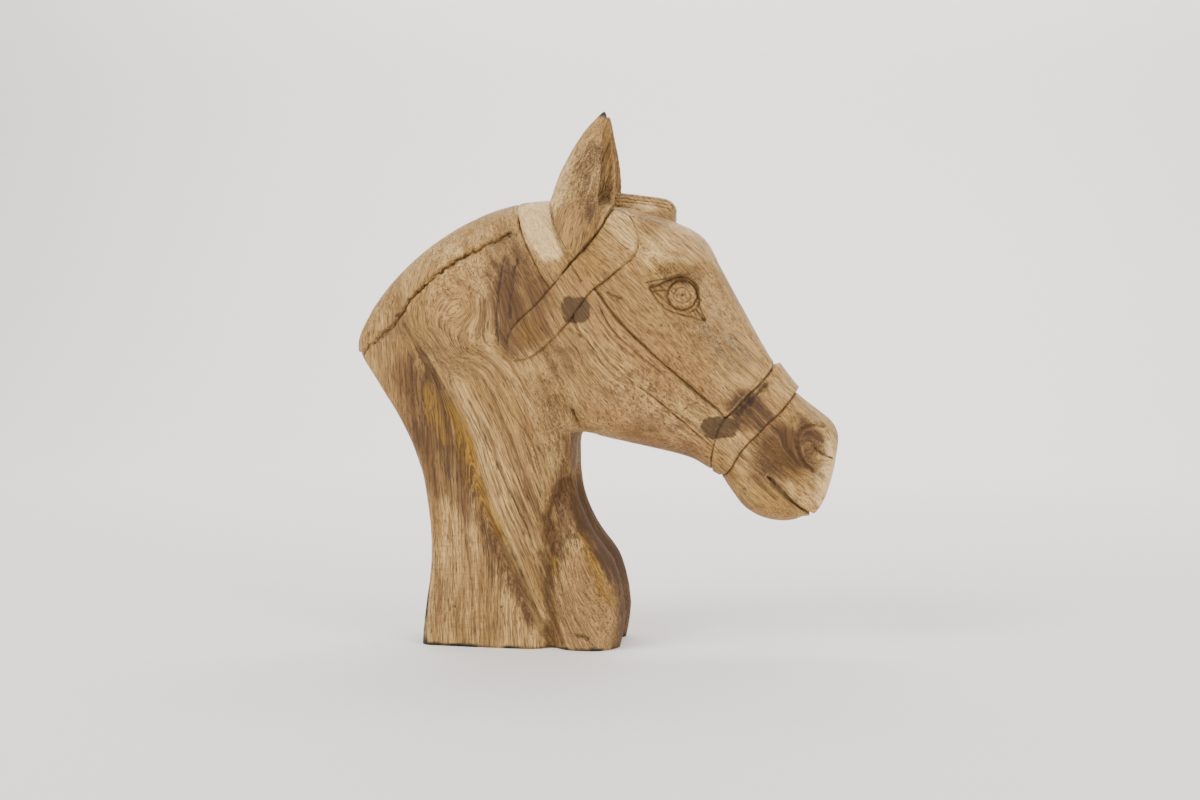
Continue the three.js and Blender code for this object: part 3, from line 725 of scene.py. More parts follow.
def buildHead():
    skins = [("head", bodyRings()), ("ear", earRings(-1)), ("ear", earRings(1)), ("forelock", forelockRings())]
    pieces = []
    bpy.ops.object.select_all(action="DESELECT")
    for name, rings in skins:
        points, faces = closedLoft(rings)
        pieces.append(makeMesh(name, points * mm, faces))
        turnOutward(pieces[-1].data)
        pieces[-1].select_set(True)
    head = bpy.context.view_layer.objects.active = pieces[0]
    bpy.ops.object.join()
    tellStage("rough block joined")

    factor, rounds = skin["smoothing"]
    applyModifier(head, "whole", "REMESH", mode="VOXEL", voxel_size=skin["voxel"] * mm)
    points, _ = pointsOf(head.data)
    above, behind = skin["rims"]
    onRims = np.flatnonzero((points[:, 2] > above) & (points[:, 0] < behind))
    head.vertex_groups.new(name="ears").add(onRims.tolist(), 1.0, "REPLACE")
    applyModifier(head, "rims", "SMOOTH", factor=factor, iterations=rounds, vertex_group="ears")
    applyModifier(head, "even", "SMOOTH", factor=factor, iterations=rounds)
    mesh = head.data
    tellStage(f"one skin, {len(mesh.vertices)} points")

    points, normals = pointsOf(mesh)
    x, y, z = points.T.copy()
    lift = carvedLift(x, z)
    # close to the underside the whole section is drawn in or out, so its edge stays sharp
    low = fadeOut(z, 2, 6)
    points += normals * (lift * np.minimum(1, 1.3 * np.abs(normals[:, 1])) * (1 - low))[:, None]
    points[:, 1] += y * lift / widthAt(x, z) * low
    # the smoothing has rounded off the ears' tips, so they are drawn up again
    start, top = skin["tips"]
    highest = points[:, 2].max()
    points[:, 2] += np.clip((points[:, 2] - start) / (highest - start), 0, 1) * (top - highest)
    placeVertices(mesh, points)
    tellStage("muscles and hollows")

    _, normals = pointsOf(mesh)
    lift, _ = fineCarving(points, normals)
    earLift, _ = earCarving(points, normals)
    x, y, z = points.T
    lift += earLift - skin["strandDepth"] * strandShare(x, y, z, normals)
    lift += sum(depth * cloud(x, y, z, size) for depth, size in skin["toolMarks"])
    points = points + normals * (lift * smoothstep(z, 0.5, 7))[:, None]
    points[:, 2] = np.where(z < 0.6, skin["lowest"], np.maximum(points[:, 2], skin["lowest"]))
    insideBlock(points)
    placeVertices(mesh, points)
    tellStage("halter, eye, nostril, mouth and cracks")

    mesh.calc_loop_triangles()
    count = len(mesh.loop_triangles)
    if count > skin["faces"]:
        applyModifier(head, "thin", "DECIMATE", ratio=skin["faces"] / count)
    tellStage(f"{len(head.data.polygons)} faces kept")
    return head


head = buildHead()
head.name = head.data.name = "carvedHead"
head.data.shade_smooth()


behindEar = [(-24, 306), (-7, 324), (4, 319), (12, 300), (22, 292), (28, 262), (14, 238), (-3, 232), (-17, 226),
             (-22, 255), (-25, 279)]
# Stains in the wood, with painted highlights and painted shade among them, in the side view: outline, softness of its
# edge, strength
stainsAndPaintedLight = {
    "brown": [
        ([(-98, 236), (-86, 244), (-71, 218), (-59, 196), (-48, 167), (-38, 136), (-25, 106), (-12, 78), (3, 44),
          (13, 20), (1, 23), (-14, 55), (-28, 79), (-48, 105), (-66, 120), (-84, 130), (-94, 152), (-100, 180),
          (-104, 208)], 10, 1.0),
        (behindEar, 9, 1.0),
        ([(24, 246), (46, 250), (46, 222), (30, 212)], 8, 0.6),
        ([(29, 136), (42, 140), (56, 119), (66, 96), (72, 72), (62, 66), (52, 91), (44, 96), (37, 83), (31, 66),
          (22, 50), (24, 80), (24, 107)], 6, 1.0),
        ([(165, 191), (173, 203), (185, 211), (198, 200), (200, 185), (190, 174), (179, 174), (168, 181)], 5, 1.0),
        ([(185, 166), (205, 183), (220, 182), (229, 190), (237, 174), (236, 150), (229, 138), (216, 130), (197, 133),
          (184, 146)], 8, 1.0),
        ([(48, 382), (56, 396), (66, 388), (70, 372), (70, 352), (58, 344), (46, 350), (43, 366)], 8, 0.6),
        ([(114, 302), (126, 306), (139, 304), (146, 294), (137, 291), (126, 291), (114, 290)], 5, 0.7),
        ([(96, 347), (118, 349), (120, 338), (107, 333), (97, 339)], 4, 0.6),
        ([(20, 208), (40, 205), (44, 166), (38, 150), (30, 165), (16, 190)], 9, 0.4),
        ([(92, 186), (120, 176), (150, 150), (140, 142), (100, 160), (80, 172)], 7, 0.6),
        ([(-8, 120), (6, 124), (20, 96), (24, 60), (12, 60), (0, 90)], 9, 0.3),
    ],
    "ochre": [
        ([(-82, 206), (-74, 206), (-66, 184), (-60, 164), (-66, 160), (-76, 184)], 5, 0.9),
        ([(-62, 198), (-53, 194), (-41, 169), (-33, 146), (-26, 122), (-17, 102), (-10, 84), (-15, 82), (-26, 102),
          (-37, 124), (-45, 148), (-54, 172)], 4, 1.0),
        ([(43, 108), (49, 106), (60, 84), (70, 60), (78, 36), (71, 34), (62, 58), (50, 86)], 4, 0.95),
        ([(23, 74), (30, 72), (31, 58), (25, 58)], 4, 0.9),
        ([(198, 168), (212, 156), (226, 140), (220, 132), (206, 144), (194, 158)], 7, 0.4),
        ([(112, 304), (130, 306), (140, 300), (120, 292), (100, 296)], 7, 0.35),
        ([(0, 258), (14, 262), (18, 242), (4, 238)], 6, 0.3),
        ([(182, 136), (200, 124), (214, 110), (200, 106), (184, 120)], 7, 0.35),
        ([(40, 312), (60, 318), (74, 306), (60, 292)], 8, 0.3),
    ],
    "pale": [
        ([(-4, 357), (26, 362), (25, 345), (33, 326), (40, 314), (24, 308), (8, 316), (-2, 334)], 3, 1.0),
        ([(-62, 318), (-50, 324), (-44, 317), (-54, 312)], 5, 0.6),
        # painted highlight along the brow ridge above the eye
        ([(100, 317), (114, 316), (129, 313), (142, 306), (138, 303), (126, 308), (112, 311)], 3, 0.55),
        # painted light on the muzzle's front
        ([(238, 172), (252, 166), (251, 139), (244, 114), (231, 114), (237, 143)], 5, 0.9),
        ([(-66, 226), (-46, 202), (-32, 172), (-24, 143), (-12, 106), (2, 76), (14, 46), (24, 20), (18, 22), (6, 48),
          (-8, 78), (-22, 106), (-34, 138), (-44, 166), (-58, 196)], 5, 0.22),
        # painted highlight on the ledge under the forelock
        ([(84, 354), (98, 356), (108, 352), (98, 348), (86, 351)], 3, 0.8),
        # painted highlight down the ear's back edge
        ([(36, 392), (28, 374), (24, 350), (31, 350), (37, 376), (44, 396)], 5, 0.45),
        ([(73, 346), (88, 342), (92, 326), (86, 312), (74, 322)], 7, 0.3),
        ([(60, 226), (96, 196), (130, 174), (120, 166), (84, 182), (56, 200)], 10, 0.16),
        # painted light on the top of the forehead
        ([(120, 346), (150, 328), (160, 304), (142, 304), (112, 318), (104, 344)], 10, 0.42),
        # painted light down the front of the face
        ([(150, 304), (168, 276), (204, 224), (186, 212), (160, 238), (140, 262), (142, 300)], 10, 0.3),
        ([(196, 214), (210, 238), (232, 222), (216, 202), (204, 196)], 6, 0.3),
        # painted light along the top of the crest
        ([(-110, 290), (-60, 330), (-8, 352), (-8, 340), (-60, 314), (-96, 284)], 8, 0.25),
    ],
    "red": [
        ([(56, 278), (74, 266), (106, 238), (138, 203), (146, 184), (118, 200), (86, 228), (58, 258)], 8, 0.7),
        ([(96, 262), (130, 234), (156, 208), (150, 196), (120, 220), (90, 250)], 10, 0.5),
        ([(40, 312), (66, 312), (78, 300), (52, 278), (40, 290)], 8, 0.4),
        ([(34, 70), (58, 78), (80, 44), (84, 6), (34, 4)], 10, 0.7),
        ([(48, 200), (80, 212), (130, 190), (150, 160), (110, 156), (60, 168)], 10, 0.6),
    ],
    "grey": [
        ([(142, 268), (158, 268), (178, 240), (181, 220), (165, 225), (152, 243)], 8, 0.55),
        ([(26, 250), (48, 252), (50, 216), (30, 210)], 9, 0.5),
        ([(-128, 240), (-108, 262), (-96, 268), (-94, 256), (-110, 244), (-124, 230)], 6, 0.5),
        ([(-20, 330), (-4, 336), (0, 326), (-14, 318), (-34, 312)], 5, 0.55),
        ([(26, 130), (40, 132), (48, 108), (40, 96), (26, 108)], 6, 0.5),
        ([(-90, 240), (-76, 236), (-58, 206), (-64, 200), (-80, 222)], 6, 0.45),
    ],
    # where the grain is dark and streaky
    "streaky": [
        (behindEar, 9, 0.6),
        ([(-100, 236), (-88, 244), (-71, 220), (-57, 196), (-44, 167), (-34, 136), (-21, 106), (-8, 78), (6, 44),
          (16, 20), (1, 20), (-18, 50), (-34, 79), (-54, 105), (-68, 119), (-76, 136), (-84, 158), (-96, 195)],
         8, 0.9),
        ([(29, 140), (44, 144), (60, 119), (72, 96), (82, 66), (62, 56), (52, 81), (37, 73), (31, 46), (20, 40),
          (20, 80), (22, 107)], 6, 0.9),
        ([(165, 191), (173, 203), (185, 211), (200, 200), (202, 185), (190, 174), (179, 174), (168, 181)], 5, 1.0),
        ([(-46, 190), (-20, 196), (20, 150), (22, 90), (14, 40), (0, 70), (-24, 130)], 12, 0.55),
        ([(-80, 110), (-30, 90), (-10, 40), (0, 4), (-80, 4)], 12, 0.25),
        ([(60, 262), (100, 232), (150, 170), (120, 170), (60, 220)], 10, 0.45),
        ([(186, 180), (226, 184), (232, 140), (200, 124), (184, 146)], 9, 0.6),
        ([(44, 390), (56, 404), (68, 380), (70, 350), (52, 340), (42, 366)], 8, 0.5),
    ],
    # where the pores are open and show as dark dots
    "porous": [
        ([(44, 390), (58, 404), (70, 390), (74, 360), (66, 342), (44, 344), (38, 366)], 8, 1.0),
        ([(214, 176), (226, 186), (240, 178), (243, 156), (234, 140), (220, 146)], 6, 1.0),
        ([(184, 166), (205, 180), (218, 170), (222, 140), (200, 130), (184, 140)], 9, 0.7),
        ([(110, 304), (128, 309), (144, 304), (148, 292), (130, 289), (112, 290)], 6, 1.0),
        ([(-90, 240), (-64, 246), (-20, 250), (-30, 222), (-66, 214)], 12, 0.6),
        ([(8, 230), (44, 226), (46, 170), (36, 130), (10, 160)], 12, 0.7),
        ([(26, 60), (66, 70), (84, 20), (60, 4), (26, 6)], 12, 0.6),
        ([(130, 262), (156, 262), (178, 236), (170, 214), (140, 236)], 12, 0.6),
    ],
    "deep": [
        # these two outlines paint shade in the chest groove and on the throat's front
        ([(44, 122), (58, 116), (72, 88), (82, 62), (76, 50), (66, 68), (54, 90), (44, 100)], 5, 1.0),
        ([(44, 168), (40, 150), (46, 136), (54, 118), (66, 118), (62, 172)], 4, 0.75),
        ([(-22, 300), (-8, 316), (-2, 296), (-4, 250), (-14, 232), (-20, 256)], 6, 0.5),
        ([(-92, 226), (-74, 218), (-60, 192), (-51, 162), (-56, 138), (-76, 142), (-88, 166), (-94, 194)], 9, 0.28),
        ([(19, 104), (29, 106), (28, 70), (31, 34), (35, 2), (23, 2), (19, 40), (17, 80)], 5, 0.6),
        ([(-28, 108), (-20, 104), (0, 60), (10, 26), (2, 26), (-14, 62)], 6, 0.5),
        ([(166, 188), (176, 202), (190, 208), (196, 198), (186, 190), (176, 180)], 5, 0.7),
        ([(192, 168), (214, 180), (230, 174), (228, 146), (208, 138), (192, 146)], 8, 0.5),
    ],
    # the saw marks at the foot of the neck
    "sawn": [([(-86, 114), (-32, 94), (-16, 44), (-2, 2), (-90, 2)], 9, 0.9)],
}
ringPatches = [(46, 270, 12.5, 11.5), (158, 177, 15.5, 9.5)]  # middle x, z, reach along and across
farSide = 0.6  # how strong the stains are there
darkEdges = {
    "lowEdge": (1.2, 4.2),  # up to this height, fading out to this
    "corner": ([0, 30, 64, 90], [-84.5, -81.5, -77.5, -78]),  # z, x of the back corner
    "strip": ([0, 20, 60, 100], [8.5, 6, 3.2, 1.0]),  # z, width of the strip beside it
    "stripTop": 105,
    "tip": (420, 429),
}
burl = {"place": (-46, 271), "reach": 56, "strength": 0.5}
muzzleKnot = {"place": (229, 163), "reach": 24, "strength": 0.6}
# the valley of the neck: z, x
neckValley = ([2, 48, 106, 162, 212, 257, 330], [26, 2, -24, -44, -68, -94, -110])


def stained(x, z, entries, drift):
    total = np.zeros(x.shape)
    for outline, soft, strength in entries:
        distance = insideDistance(x, z, rounded(outline)) + drift * soft
        total = np.maximum(total, strength * smoothstep(distance, -soft, soft))
    return total


# across, through and along the grain
def grainCoordinates(x, y, z):
    onHead = smoothstep(0.75 * x + 0.45 * (z - 230), -10, 95)
    # left of the neck's valley the grain is upright, right of it it runs along the valley
    fromValley = x - np.interp(z, *neckValley)
    beyond = smoothstep(fromValley, -5, 5)
    neckAcross = (x + 0.05 * z) * (1 - beyond) + (0.95 * fromValley - 40) * beyond
    headAcross, headAlong = 0.70 * x + 0.71 * z - 120, 0.71 * x - 0.70 * z
    across = neckAcross * (1 - onHead) + headAcross * onHead
    along = -z * (1 - onHead) + headAlong * onHead
    for swirl in (burl, muzzleKnot):
        cx, cz = swirl["place"]
        radius = np.hypot((x - cx) * 0.9, z - cz) + 0.12 * swirl["reach"] * cloud(x, y, z, 26)
        share = swirl["strength"] * fadeOut(radius, 0.3 * swirl["reach"], swirl["reach"])
        middle = 0 if cx < 0 else 0.70 * cx + 0.71 * cz - 120
        across = across * (1 - share) + (middle + 1.1 * radius) * share
        along = along * (1 - 0.8 * share)
    onEar = earShare(x, y, z)
    across = across * (1 - onEar) + (x * 0.96 - 0.28 * z) * onEar
    along = along * (1 - onEar) - z * onEar
    across = across + 10 * np.exp(-(((x - 54) / 24) ** 2 + ((z - 62) / 62) ** 2))  # bent over the chest's lobe
    bend = 3.4 * cloud(x, y * 2, z, 70) + 0.5 * cloud(x, y, z, 20)
    return np.stack([across + bend, y, along], 1)


# above 0 where the surface round a point is hollow, below 0 where it is proud
def surfaceBend(mesh, points, normals):
    edges = np.zeros(len(mesh.edges) * 2, np.int64)
    mesh.edges.foreach_get("vertices", edges)
    edges = edges.reshape(-1, 2)
    bend, count = np.zeros(len(points)), np.zeros(len(points))
    step = points[edges[:, 1]] - points[edges[:, 0]]
    length = np.linalg.norm(step, axis=1) + 1e-6
    for own, sign in ((0, 1), (1, -1)):
        rise = np.einsum("ij,ij->i", step * sign, normals[edges[:, own]]) / length
        np.add.at(bend, edges[:, own], rise)
        np.add.at(count, edges[:, own], 1)
    bend = bend / np.maximum(count, 1)
    for _ in range(3):
        total = np.zeros(len(points))
        for own, other in ((0, 1), (1, 0)):
            np.add.at(total, edges[:, own], bend[edges[:, other]])
        bend = 0.4 * bend + 0.6 * total / np.maximum(count, 1)
    return bend


def ringPatchShare(x, y, z, sideways):
    patch = np.zeros(x.shape)
    ragged = 0.16 * cloud(x, y, z, 9) + 0.05 * noise(x / 1.7, y / 1.7, z / 1.7)
    for cx, cz, along, across in ringPatches:
        u, v = np.abs(x - cx) / along, np.abs(z - cz) / across
        r = 0.35 * np.maximum(u, v) + 0.65 * np.hypot(u, v)
        patch = np.maximum(patch, fadeOut(r + ragged, 0.78, 1.12))
    return patch * smoothstep(sideways, 0.3, 0.6)


# near black along the lowest edge, up the back corner and on the near ear's tip
def darkEdgeShare(x, y, z):
    strip = np.interp(z, *darkEdges["strip"]) - (x - np.interp(z, *darkEdges["corner"]))
    nearBlack = np.maximum(0.9 * fadeOut(z, *darkEdges["lowEdge"]), smoothstep(strip, -1, 2) * (z < darkEdges["stripTop"]))
    nearBlack = np.clip(nearBlack * (0.75 + 0.6 * cloud(x, y, z, 9)), 0, 1)
    return np.maximum(nearBlack, smoothstep(z, *darkEdges["tip"]) * (y < 0) * 0.85)


def paintPoints(mesh):
    points, normals = pointsOf(mesh)
    x, y, z = points.T
    grain = grainCoordinates(x, y, z)
    streak = cloud(grain[:, 0] * 3, grain[:, 1] * 3, grain[:, 2] * 0.3, 16)
    drift = 1.5 * streak + 0.9 * cloud(x, y, z, 16)
    masks = {}
    for name, entries in stainsAndPaintedLight.items():
        mask = stained(x, z, entries, drift) * np.where(y < 0, 1.0, farSide)
        masks[name] = np.clip(mask * (1 + 0.35 * streak), 0, 1)

    # dark: painted shade in the carved grooves, cracks, eye rings, nostrils and mouth
    _, dark = fineCarving(points, normals)
    # painted shade in the grooves between the forelock's strands
    forelockTop = (x > 66) & (x < 124) & (np.abs(y) < 22) & (z > 350)
    strand = np.abs(np.cos(forelock["strands"] * math.pi * (y / 18.5 + 1) / 2)) ** 10
    dark = np.maximum(dark, strand * forelockTop * smoothstep(normals[:, 2], -0.2, 0.3) * 0.7)
    dark = np.maximum(dark, 0.8 * strandShare(x, y, z, normals))
    # painted shade in the cracks at the back of the ears
    _, earDark = earCarving(points, normals)
    # how hollow or proud the surface is, for the painted shade in hollows and the painted highlight on proud places
    bend = surfaceBend(mesh, points, normals)

    # painted shade where the surface faces forward: on the chest's front, in its groove and on the throat's front
    chestShade = smoothstep(normals[:, 0], 0.1, 0.7) * (x < 110) * (z < 172) * fadeOut(np.abs(y), 32, 47)
    chestShade *= 1 - 0.6 * smoothstep(z, 112, 150)
    # painted shade inside the ears, on their hollow and inward faces
    inEarShade = smoothstep(-np.sign(y) * normals[:, 1] + 0.6 * normals[:, 0], 0.2, 0.8)
    inEarShade *= smoothstep(z, 362, 374) * (x < 90)
    # brown stains, with the painted shade of the chest and inside the ears
    brown = np.clip(np.maximum.reduce([masks["brown"], 0.95 * chestShade, 0.5 * inEarShade]), 0, 1)
    patch = ringPatchShare(x, y, z, np.abs(normals[:, 1]))
    values = {
        "grain": grain.T / 100,
        "stainAndPaintedLightA": (brown, masks["ochre"], masks["pale"] * (1 - 0.8 * chestShade)),
        "stainB": (masks["red"], patch, darkEdgeShare(x, y, z)),
        "stainAndShadeC": (masks["grey"], masks["porous"], np.maximum(masks["streaky"], chestShade)),
        "stainAndShadeD": (chestShade * (0.5 + 0.5 * smoothstep(z, 0, 80)), masks["deep"], masks["sawn"]),
        # painted shade in the cuts and in hollow places, and a painted highlight on proud places
        "paintedShadeAndHighlight": (np.clip(np.maximum(dark, earDark), 0, 1), smoothstep(bend, 0.02, 0.16),
                       smoothstep(-bend, 0.04, 0.2)),
    }
    for name, value in values.items():
        layer = mesh.attributes.new(name, "FLOAT_VECTOR", "POINT")
        layer.data.foreach_set("vector", np.stack(value, 1).astype(np.float32).ravel())


paintPoints(head.data)
tellStage("grain and stains laid out")


# Wood finish
woodColours = {
    "pale": (0.70, 0.44, 0.152),
    "tan": (0.48, 0.270, 0.077),
    "brown": (0.145, 0.064, 0.017),
    "midBrown": (0.24, 0.118, 0.031),
    "darkGrain": (0.050, 0.022, 0.008),
    "ochre": (0.40, 0.205, 0.008),
    "red": (0.48, 0.235, 0.078),
    # pale wood, also used for painted highlights
    "paleAndHighlight": (1.0, 0.68, 0.31),
    "deep": (0.068, 0.028, 0.006),
    # deep brown, also used for painted shade on the chest
    "patch": (0.058, 0.027, 0.0065),
    "nearBlack": (0.012, 0.008, 0.006),
    # painted shade for the carved cuts and cracks
    "creviceShade": (0.026, 0.012, 0.005),
    "grey": (0.225, 0.165, 0.095),
}
# stretch across, through and along the grain, scale, detail, roughness, distortion
woodPatterns = {
    "broad": ((1, 1, 0.22), 3.2, 3, 0.5, 0.3),
    "figure": ((1, 1, 0.07), 13, 4, 0.6, 0.3),
    "fibre": ((1, 1, 0.028), 56, 4, 0.66, 0),
    "fine": ((1, 1, 0.035), 110, 3, 0.62, 0),
    "mottled": ((1, 1, 1), 26, 5, 0.65, 0),
    "pores": ((1, 1, 0.075), 135, 2, 0.55, 0),
    "dots": ((1, 1, 0.7), 95, 2, 0.5, 0),
    "sawMarks": ((0.08, 0.3, 1), 62, 3, 0.6, 0),
}
yearRings = {"stretch": (1, 0.25, 0.03), "Scale": 5.0, "Distortion": 6, "Detail": 3, "Detail Scale": 1.2}
surface = {
    "roughness": 0.50,
    "fibreRough": 0.22,
    "rubbedSmooth": 0.12,
    "chestRough": 0.25,
    "gloss": 0.42,
    "bumpStrength": 0.85,
    "bumpDepth": 0.0009,
}


def woodMaterial():
    material = bpy.data.materials.new("weatheredWood")
    material.use_nodes = True
    nodes, links = material.node_tree.nodes, material.node_tree.links
    nodes.clear()

    def add(kind, **settings):
        node = nodes.new(kind)
        for key, value in settings.items():
            setattr(node, key, value)
        return node

    def fill(socket, value):
        if isinstance(value, bpy.types.NodeSocket):
            links.new(value, socket)
        else:
            socket.default_value = value

    def maths(operation, a, b, clamp=False):
        node = add("ShaderNodeMath", operation=operation, use_clamp=clamp)
        fill(node.inputs[0], a)
        fill(node.inputs[1], b)
        return node.outputs[0]

    def plus(a, b, clamp=False):
        return maths("ADD", a, b, clamp)

    def times(a, b):
        return maths("MULTIPLY", a, b)

    def ranged(value, low, high, toLow=0.0, toHigh=1.0):
        node = add("ShaderNodeMapRange", interpolation_type="SMOOTHSTEP")
        for socket, number in zip(node.inputs, (value, low, high, toLow, toHigh)):
            fill(socket, number)
        return node.outputs["Result"]

    # the colour below, then one of the wood's colours over it by a share
    def over(colour, tint, share):
        node = add("ShaderNodeMix", data_type="RGBA")
        fill(node.inputs[0], share)
        fill(node.inputs[6], colour)
        fill(node.inputs[7], (*woodColours[tint], 1))
        return node.outputs[2]

    def attribute(name):
        return add("ShaderNodeAttribute", attribute_name=name).outputs["Vector"]

    def threeOf(name):
        split = add("ShaderNodeSeparateXYZ")
        fill(split.inputs[0], attribute(name))
        return split.outputs

    def stretched(scale):
        node = add("ShaderNodeVectorMath", operation="MULTIPLY")
        fill(node.inputs[0], grain)
        fill(node.inputs[1], scale)
        return node.outputs[0]

    def pattern(stretch, *numbers):
        node = add("ShaderNodeTexNoise")
        fill(node.inputs["Vector"], stretched(stretch))
        for name, number in zip(("Scale", "Detail", "Roughness", "Distortion"), numbers):
            fill(node.inputs[name], number)
        return node.outputs["Fac"]

    grain = attribute("grain")
    brown, ochre, pale = threeOf("stainAndPaintedLightA")
    red, patch, nearBlack = threeOf("stainB")
    grey, porous, streaky = threeOf("stainAndShadeC")
    chestShade, deep, sawn = threeOf("stainAndShadeD")
    # painted shade in cuts, painted shade in hollows, painted highlight and rubbed smoothness on proud places
    cut, hollow, wearAndHighlight = threeOf("paintedShadeAndHighlight")
    broad, figure, fibre, fine, mottled, pores, dots, sawMarks = (pattern(*row) for row in woodPatterns.values())

    wave = add("ShaderNodeTexWave", wave_type="BANDS", bands_direction="X", wave_profile="SAW")
    fill(wave.inputs["Vector"], stretched(yearRings["stretch"]))
    for name in ("Scale", "Distortion", "Detail", "Detail Scale"):
        fill(wave.inputs[name], yearRings[name])
    rings = wave.outputs["Fac"]

    # the pale places, partly rubbed wood and partly painted highlights, show less of the grain
    calm = maths("SUBTRACT", 1.0, times(pale, 0.6))
    spotted = times(porous, ranged(dots, 0.49, 0.59))
    feathered = times(maths("SUBTRACT", plus(mottled, fibre), 1.0), 0.8)

    def grained(value, low, high, most):
        return times(ranged(value, low, high, 0.0, most), calm)

    colour = over((*woodColours["pale"], 1), "tan", ranged(broad, 0.36, 0.62))
    for tint, share in (
        ("red", times(red, 0.75)),
        # pale rubbed wood, with painted highlights on the brow, forelock ledge, ear edge and lit top and front
        ("paleAndHighlight", times(pale, ranged(mottled, 0.3, 0.55, 0.6, 1.0))),
        ("grey", times(grey, ranged(mottled, 0.35, 0.6, 0.5, 1.0))),
        # brown stains, with painted shade on the chest and inside the ears
        ("brown", times(brown, ranged(figure, 0.36, 0.6, 0.70, 1.0))),
        ("ochre", times(ochre, ranged(figure, 0.3, 0.6, 0.55, 1.0))),
        ("midBrown", grained(figure, 0.46, 0.66, 0.42)),
        ("midBrown", grained(rings, 0.70, 0.98, 0.32)),
        ("ochre", times(ochre, ranged(figure, 0.4, 0.6, 0.25, 0.6))),
        ("brown", grained(fibre, 0.46, 0.64, 0.60)),
        ("brown", grained(fine, 0.47, 0.64, 0.50)),
        ("darkGrain", grained(pores, 0.54, 0.64, 0.66)),
        ("midBrown", grained(mottled, 0.48, 0.70, 0.25)),
        ("darkGrain", times(spotted, 0.62)),
        # dark streaks, also painted in as shade on the chest's front
        ("darkGrain", times(times(streaky, ranged(fibre, 0.44, 0.60)), 0.72)),
        ("midBrown", times(sawn, ranged(sawMarks, 0.48, 0.68, 0.0, 0.5))),
        # deep brown stains, with painted shade in the chest groove and on the throat's front
        ("deep", times(deep, ranged(figure, 0.30, 0.58, 0.38, 1.0))),
        # painted shade on the chest's front and in its groove
        ("deep", times(chestShade, 0.8)),
        # painted highlight on proud, convex places
        ("paleAndHighlight", times(wearAndHighlight, 0.12)),
        # painted shade in hollow places
        ("brown", times(hollow, 0.55)),
        ("patch", times(ranged(plus(patch, feathered), 0.2, 0.75), 0.88)),
        # painted shade in the carved cuts and cracks
        ("creviceShade", times(ranged(cut, 0.15, 0.95, 0.0, 0.92), ranged(mottled, 0.36, 0.58, 1.0, 0.66))),
        ("nearBlack", ranged(nearBlack, 0.2, 0.8)),
    ):
        colour = over(colour, tint, share)

    roughness = plus(surface["roughness"], times(fibre, surface["fibreRough"]))
    roughness = maths("SUBTRACT", roughness, times(plus(pale, wearAndHighlight), surface["rubbedSmooth"]), True)
    roughness = plus(roughness, times(chestShade, surface["chestRough"]), True)
    relief = plus(times(ranged(fibre, 0.4, 0.66), -0.5), times(fine, -0.5))
    relief = plus(relief, times(ranged(pores, 0.56, 0.7), -0.5))
    relief = plus(relief, times(spotted, -0.5))
    relief = plus(relief, times(times(sawn, sawMarks), 0.9))
    bump = add("ShaderNodeBump")
    fill(bump.inputs["Strength"], surface["bumpStrength"])
    fill(bump.inputs["Distance"], surface["bumpDepth"])
    fill(bump.inputs["Height"], relief)

    shader = add("ShaderNodeBsdfPrincipled")
    fill(shader.inputs["Base Color"], colour)
    fill(shader.inputs["Roughness"], roughness)
    fill(shader.inputs["Specular IOR Level"], surface["gloss"])
    fill(shader.inputs["Normal"], bump.outputs[0])
    fill(add("ShaderNodeOutputMaterial").inputs["Surface"], shader.outputs[0])
    return material


head.data.materials.clear()
head.data.materials.append(woodMaterial())
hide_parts("horse_head")
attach(head, "root")
tellStage("wood finish")


# Stage, light and camera
stage = {
    "front": -2.6,
    "wall": 2.7,  # clear of every view
    "halfWidth": 6.0,
    "height": 4.2,
    "bend": 0.9,
    "steps": 12,
    "colour": (0.90, 0.87, 0.845, 1),
    "roughness": 0.7,
    "air": (0.97, 0.95, 0.93, 1),
    "airStrength": 0.44,
}
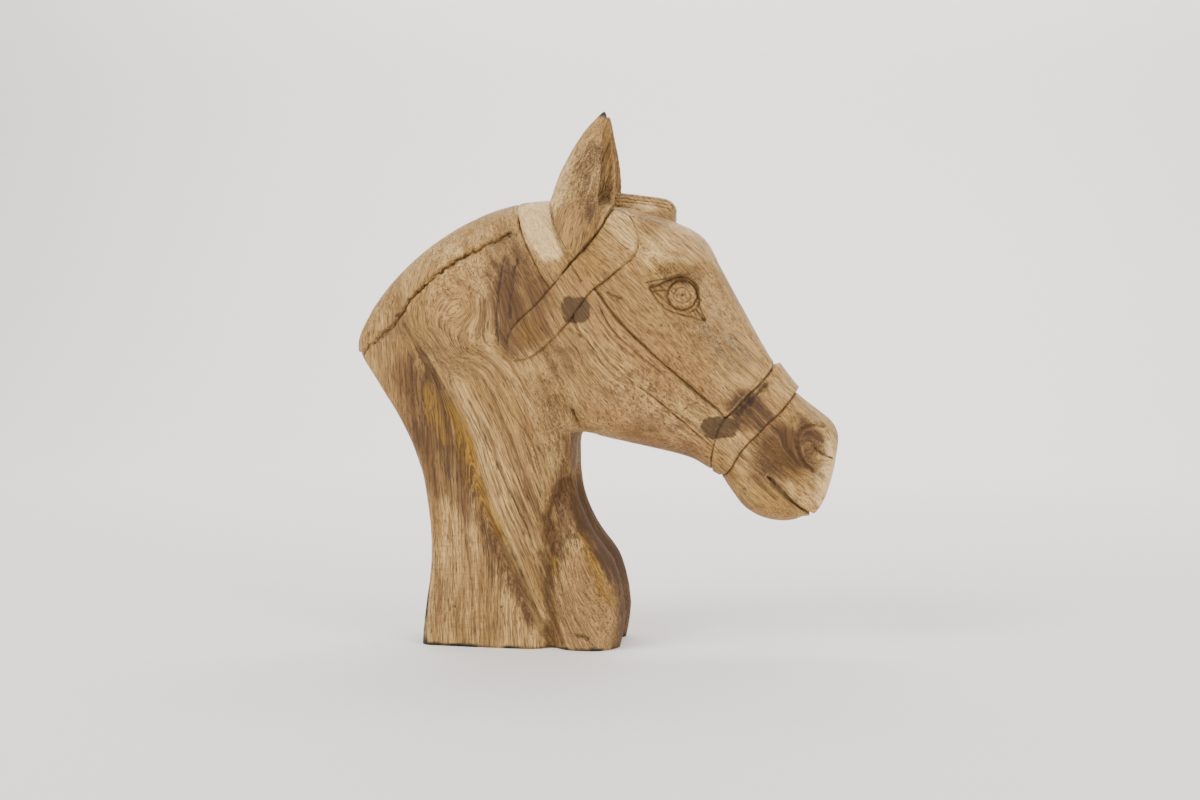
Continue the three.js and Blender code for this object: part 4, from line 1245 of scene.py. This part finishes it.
# place, what it lights, width and height, watts, colour
lamps = {
    "window": ((-1.3, -1.2, 1.7), (0.05, 0, 0.2), (1.1, 1.1), 44.5, (1.0, 0.985, 0.96)),
    "sky": ((0.2, -0.2, 2.1), (0.05, 0, 0.2), (2.2, 1.8), 19, (1.0, 1.0, 1.0)),
    "bounce": ((1.6, -1.2, 1.1), (0.05, 0, 0.2), (1.2, 1.2), 26, (1.0, 0.98, 0.95)),
    "wallLight": ((0.2, 1.6, 2.4), (0.2, 2.7, 0.4), (4.0, 0.8), 110, (1.0, 1.0, 1.0)),
}
photoCamera = {"place": (214.1, -1352.1, 244.7), "azimuth": 6.53, "pitch": 1.99, "lens": 50, "sensor": 36}


def sweepFloor():
    foot, radius = stage["wall"] - stage["bend"], stage["bend"]
    profile = [(stage["front"], 0.0), (foot, 0.0)]
    for i in range(1, stage["steps"] + 1):
        a = math.pi / 2 * i / stage["steps"]
        profile.append((foot + radius * math.sin(a), radius * (1 - math.cos(a))))
    profile.append((stage["wall"], stage["height"]))
    points = [(x, y, z) for x in (-stage["halfWidth"], stage["halfWidth"]) for y, z in profile]
    count = len(profile)
    faces = [(i, i + 1, count + i + 1, count + i) for i in range(count - 1)]
    floor = makeMesh("floor", points, faces)
    paint = bpy.data.materials.new("paleFloor")
    paint.use_nodes = True
    shader = paint.node_tree.nodes["Principled BSDF"]
    shader.inputs["Base Color"].default_value = stage["colour"]
    shader.inputs["Roughness"].default_value = stage["roughness"]
    floor.data.materials.append(paint)


def areaLight(name, place, target, size, power, colour):
    light = bpy.data.lights.new(name, "AREA")
    light.shape = "RECTANGLE"
    light.size, light.size_y = size
    light.energy = power
    light.color = colour
    lamp = addThing(name, light)
    lamp.location = place
    direction = Vector(target) - Vector(place)
    lamp.rotation_euler = direction.to_track_quat("-Z", "Y").to_euler()


sweepFloor()
for name, settings in lamps.items():
    areaLight(name, *settings)

world = bpy.data.worlds.new("room")
bpy.context.scene.world = world
world.use_nodes = True
air = world.node_tree.nodes["Background"]
air.inputs["Color"].default_value = stage["air"]
air.inputs["Strength"].default_value = stage["airStrength"]

camera = addThing("photoCamera", bpy.data.cameras.new("photoCamera"))
camera.data.lens = photoCamera["lens"]
camera.data.sensor_width = photoCamera["sensor"]
camera.data.clip_start, camera.data.clip_end = 0.01, 50
camera.location = Vector(photoCamera["place"]) * mm
camera.rotation_euler = (math.radians(90 - photoCamera["pitch"]), 0, math.radians(photoCamera["azimuth"]))
bpy.context.scene.camera = camera
tellStage("stage, light and camera")
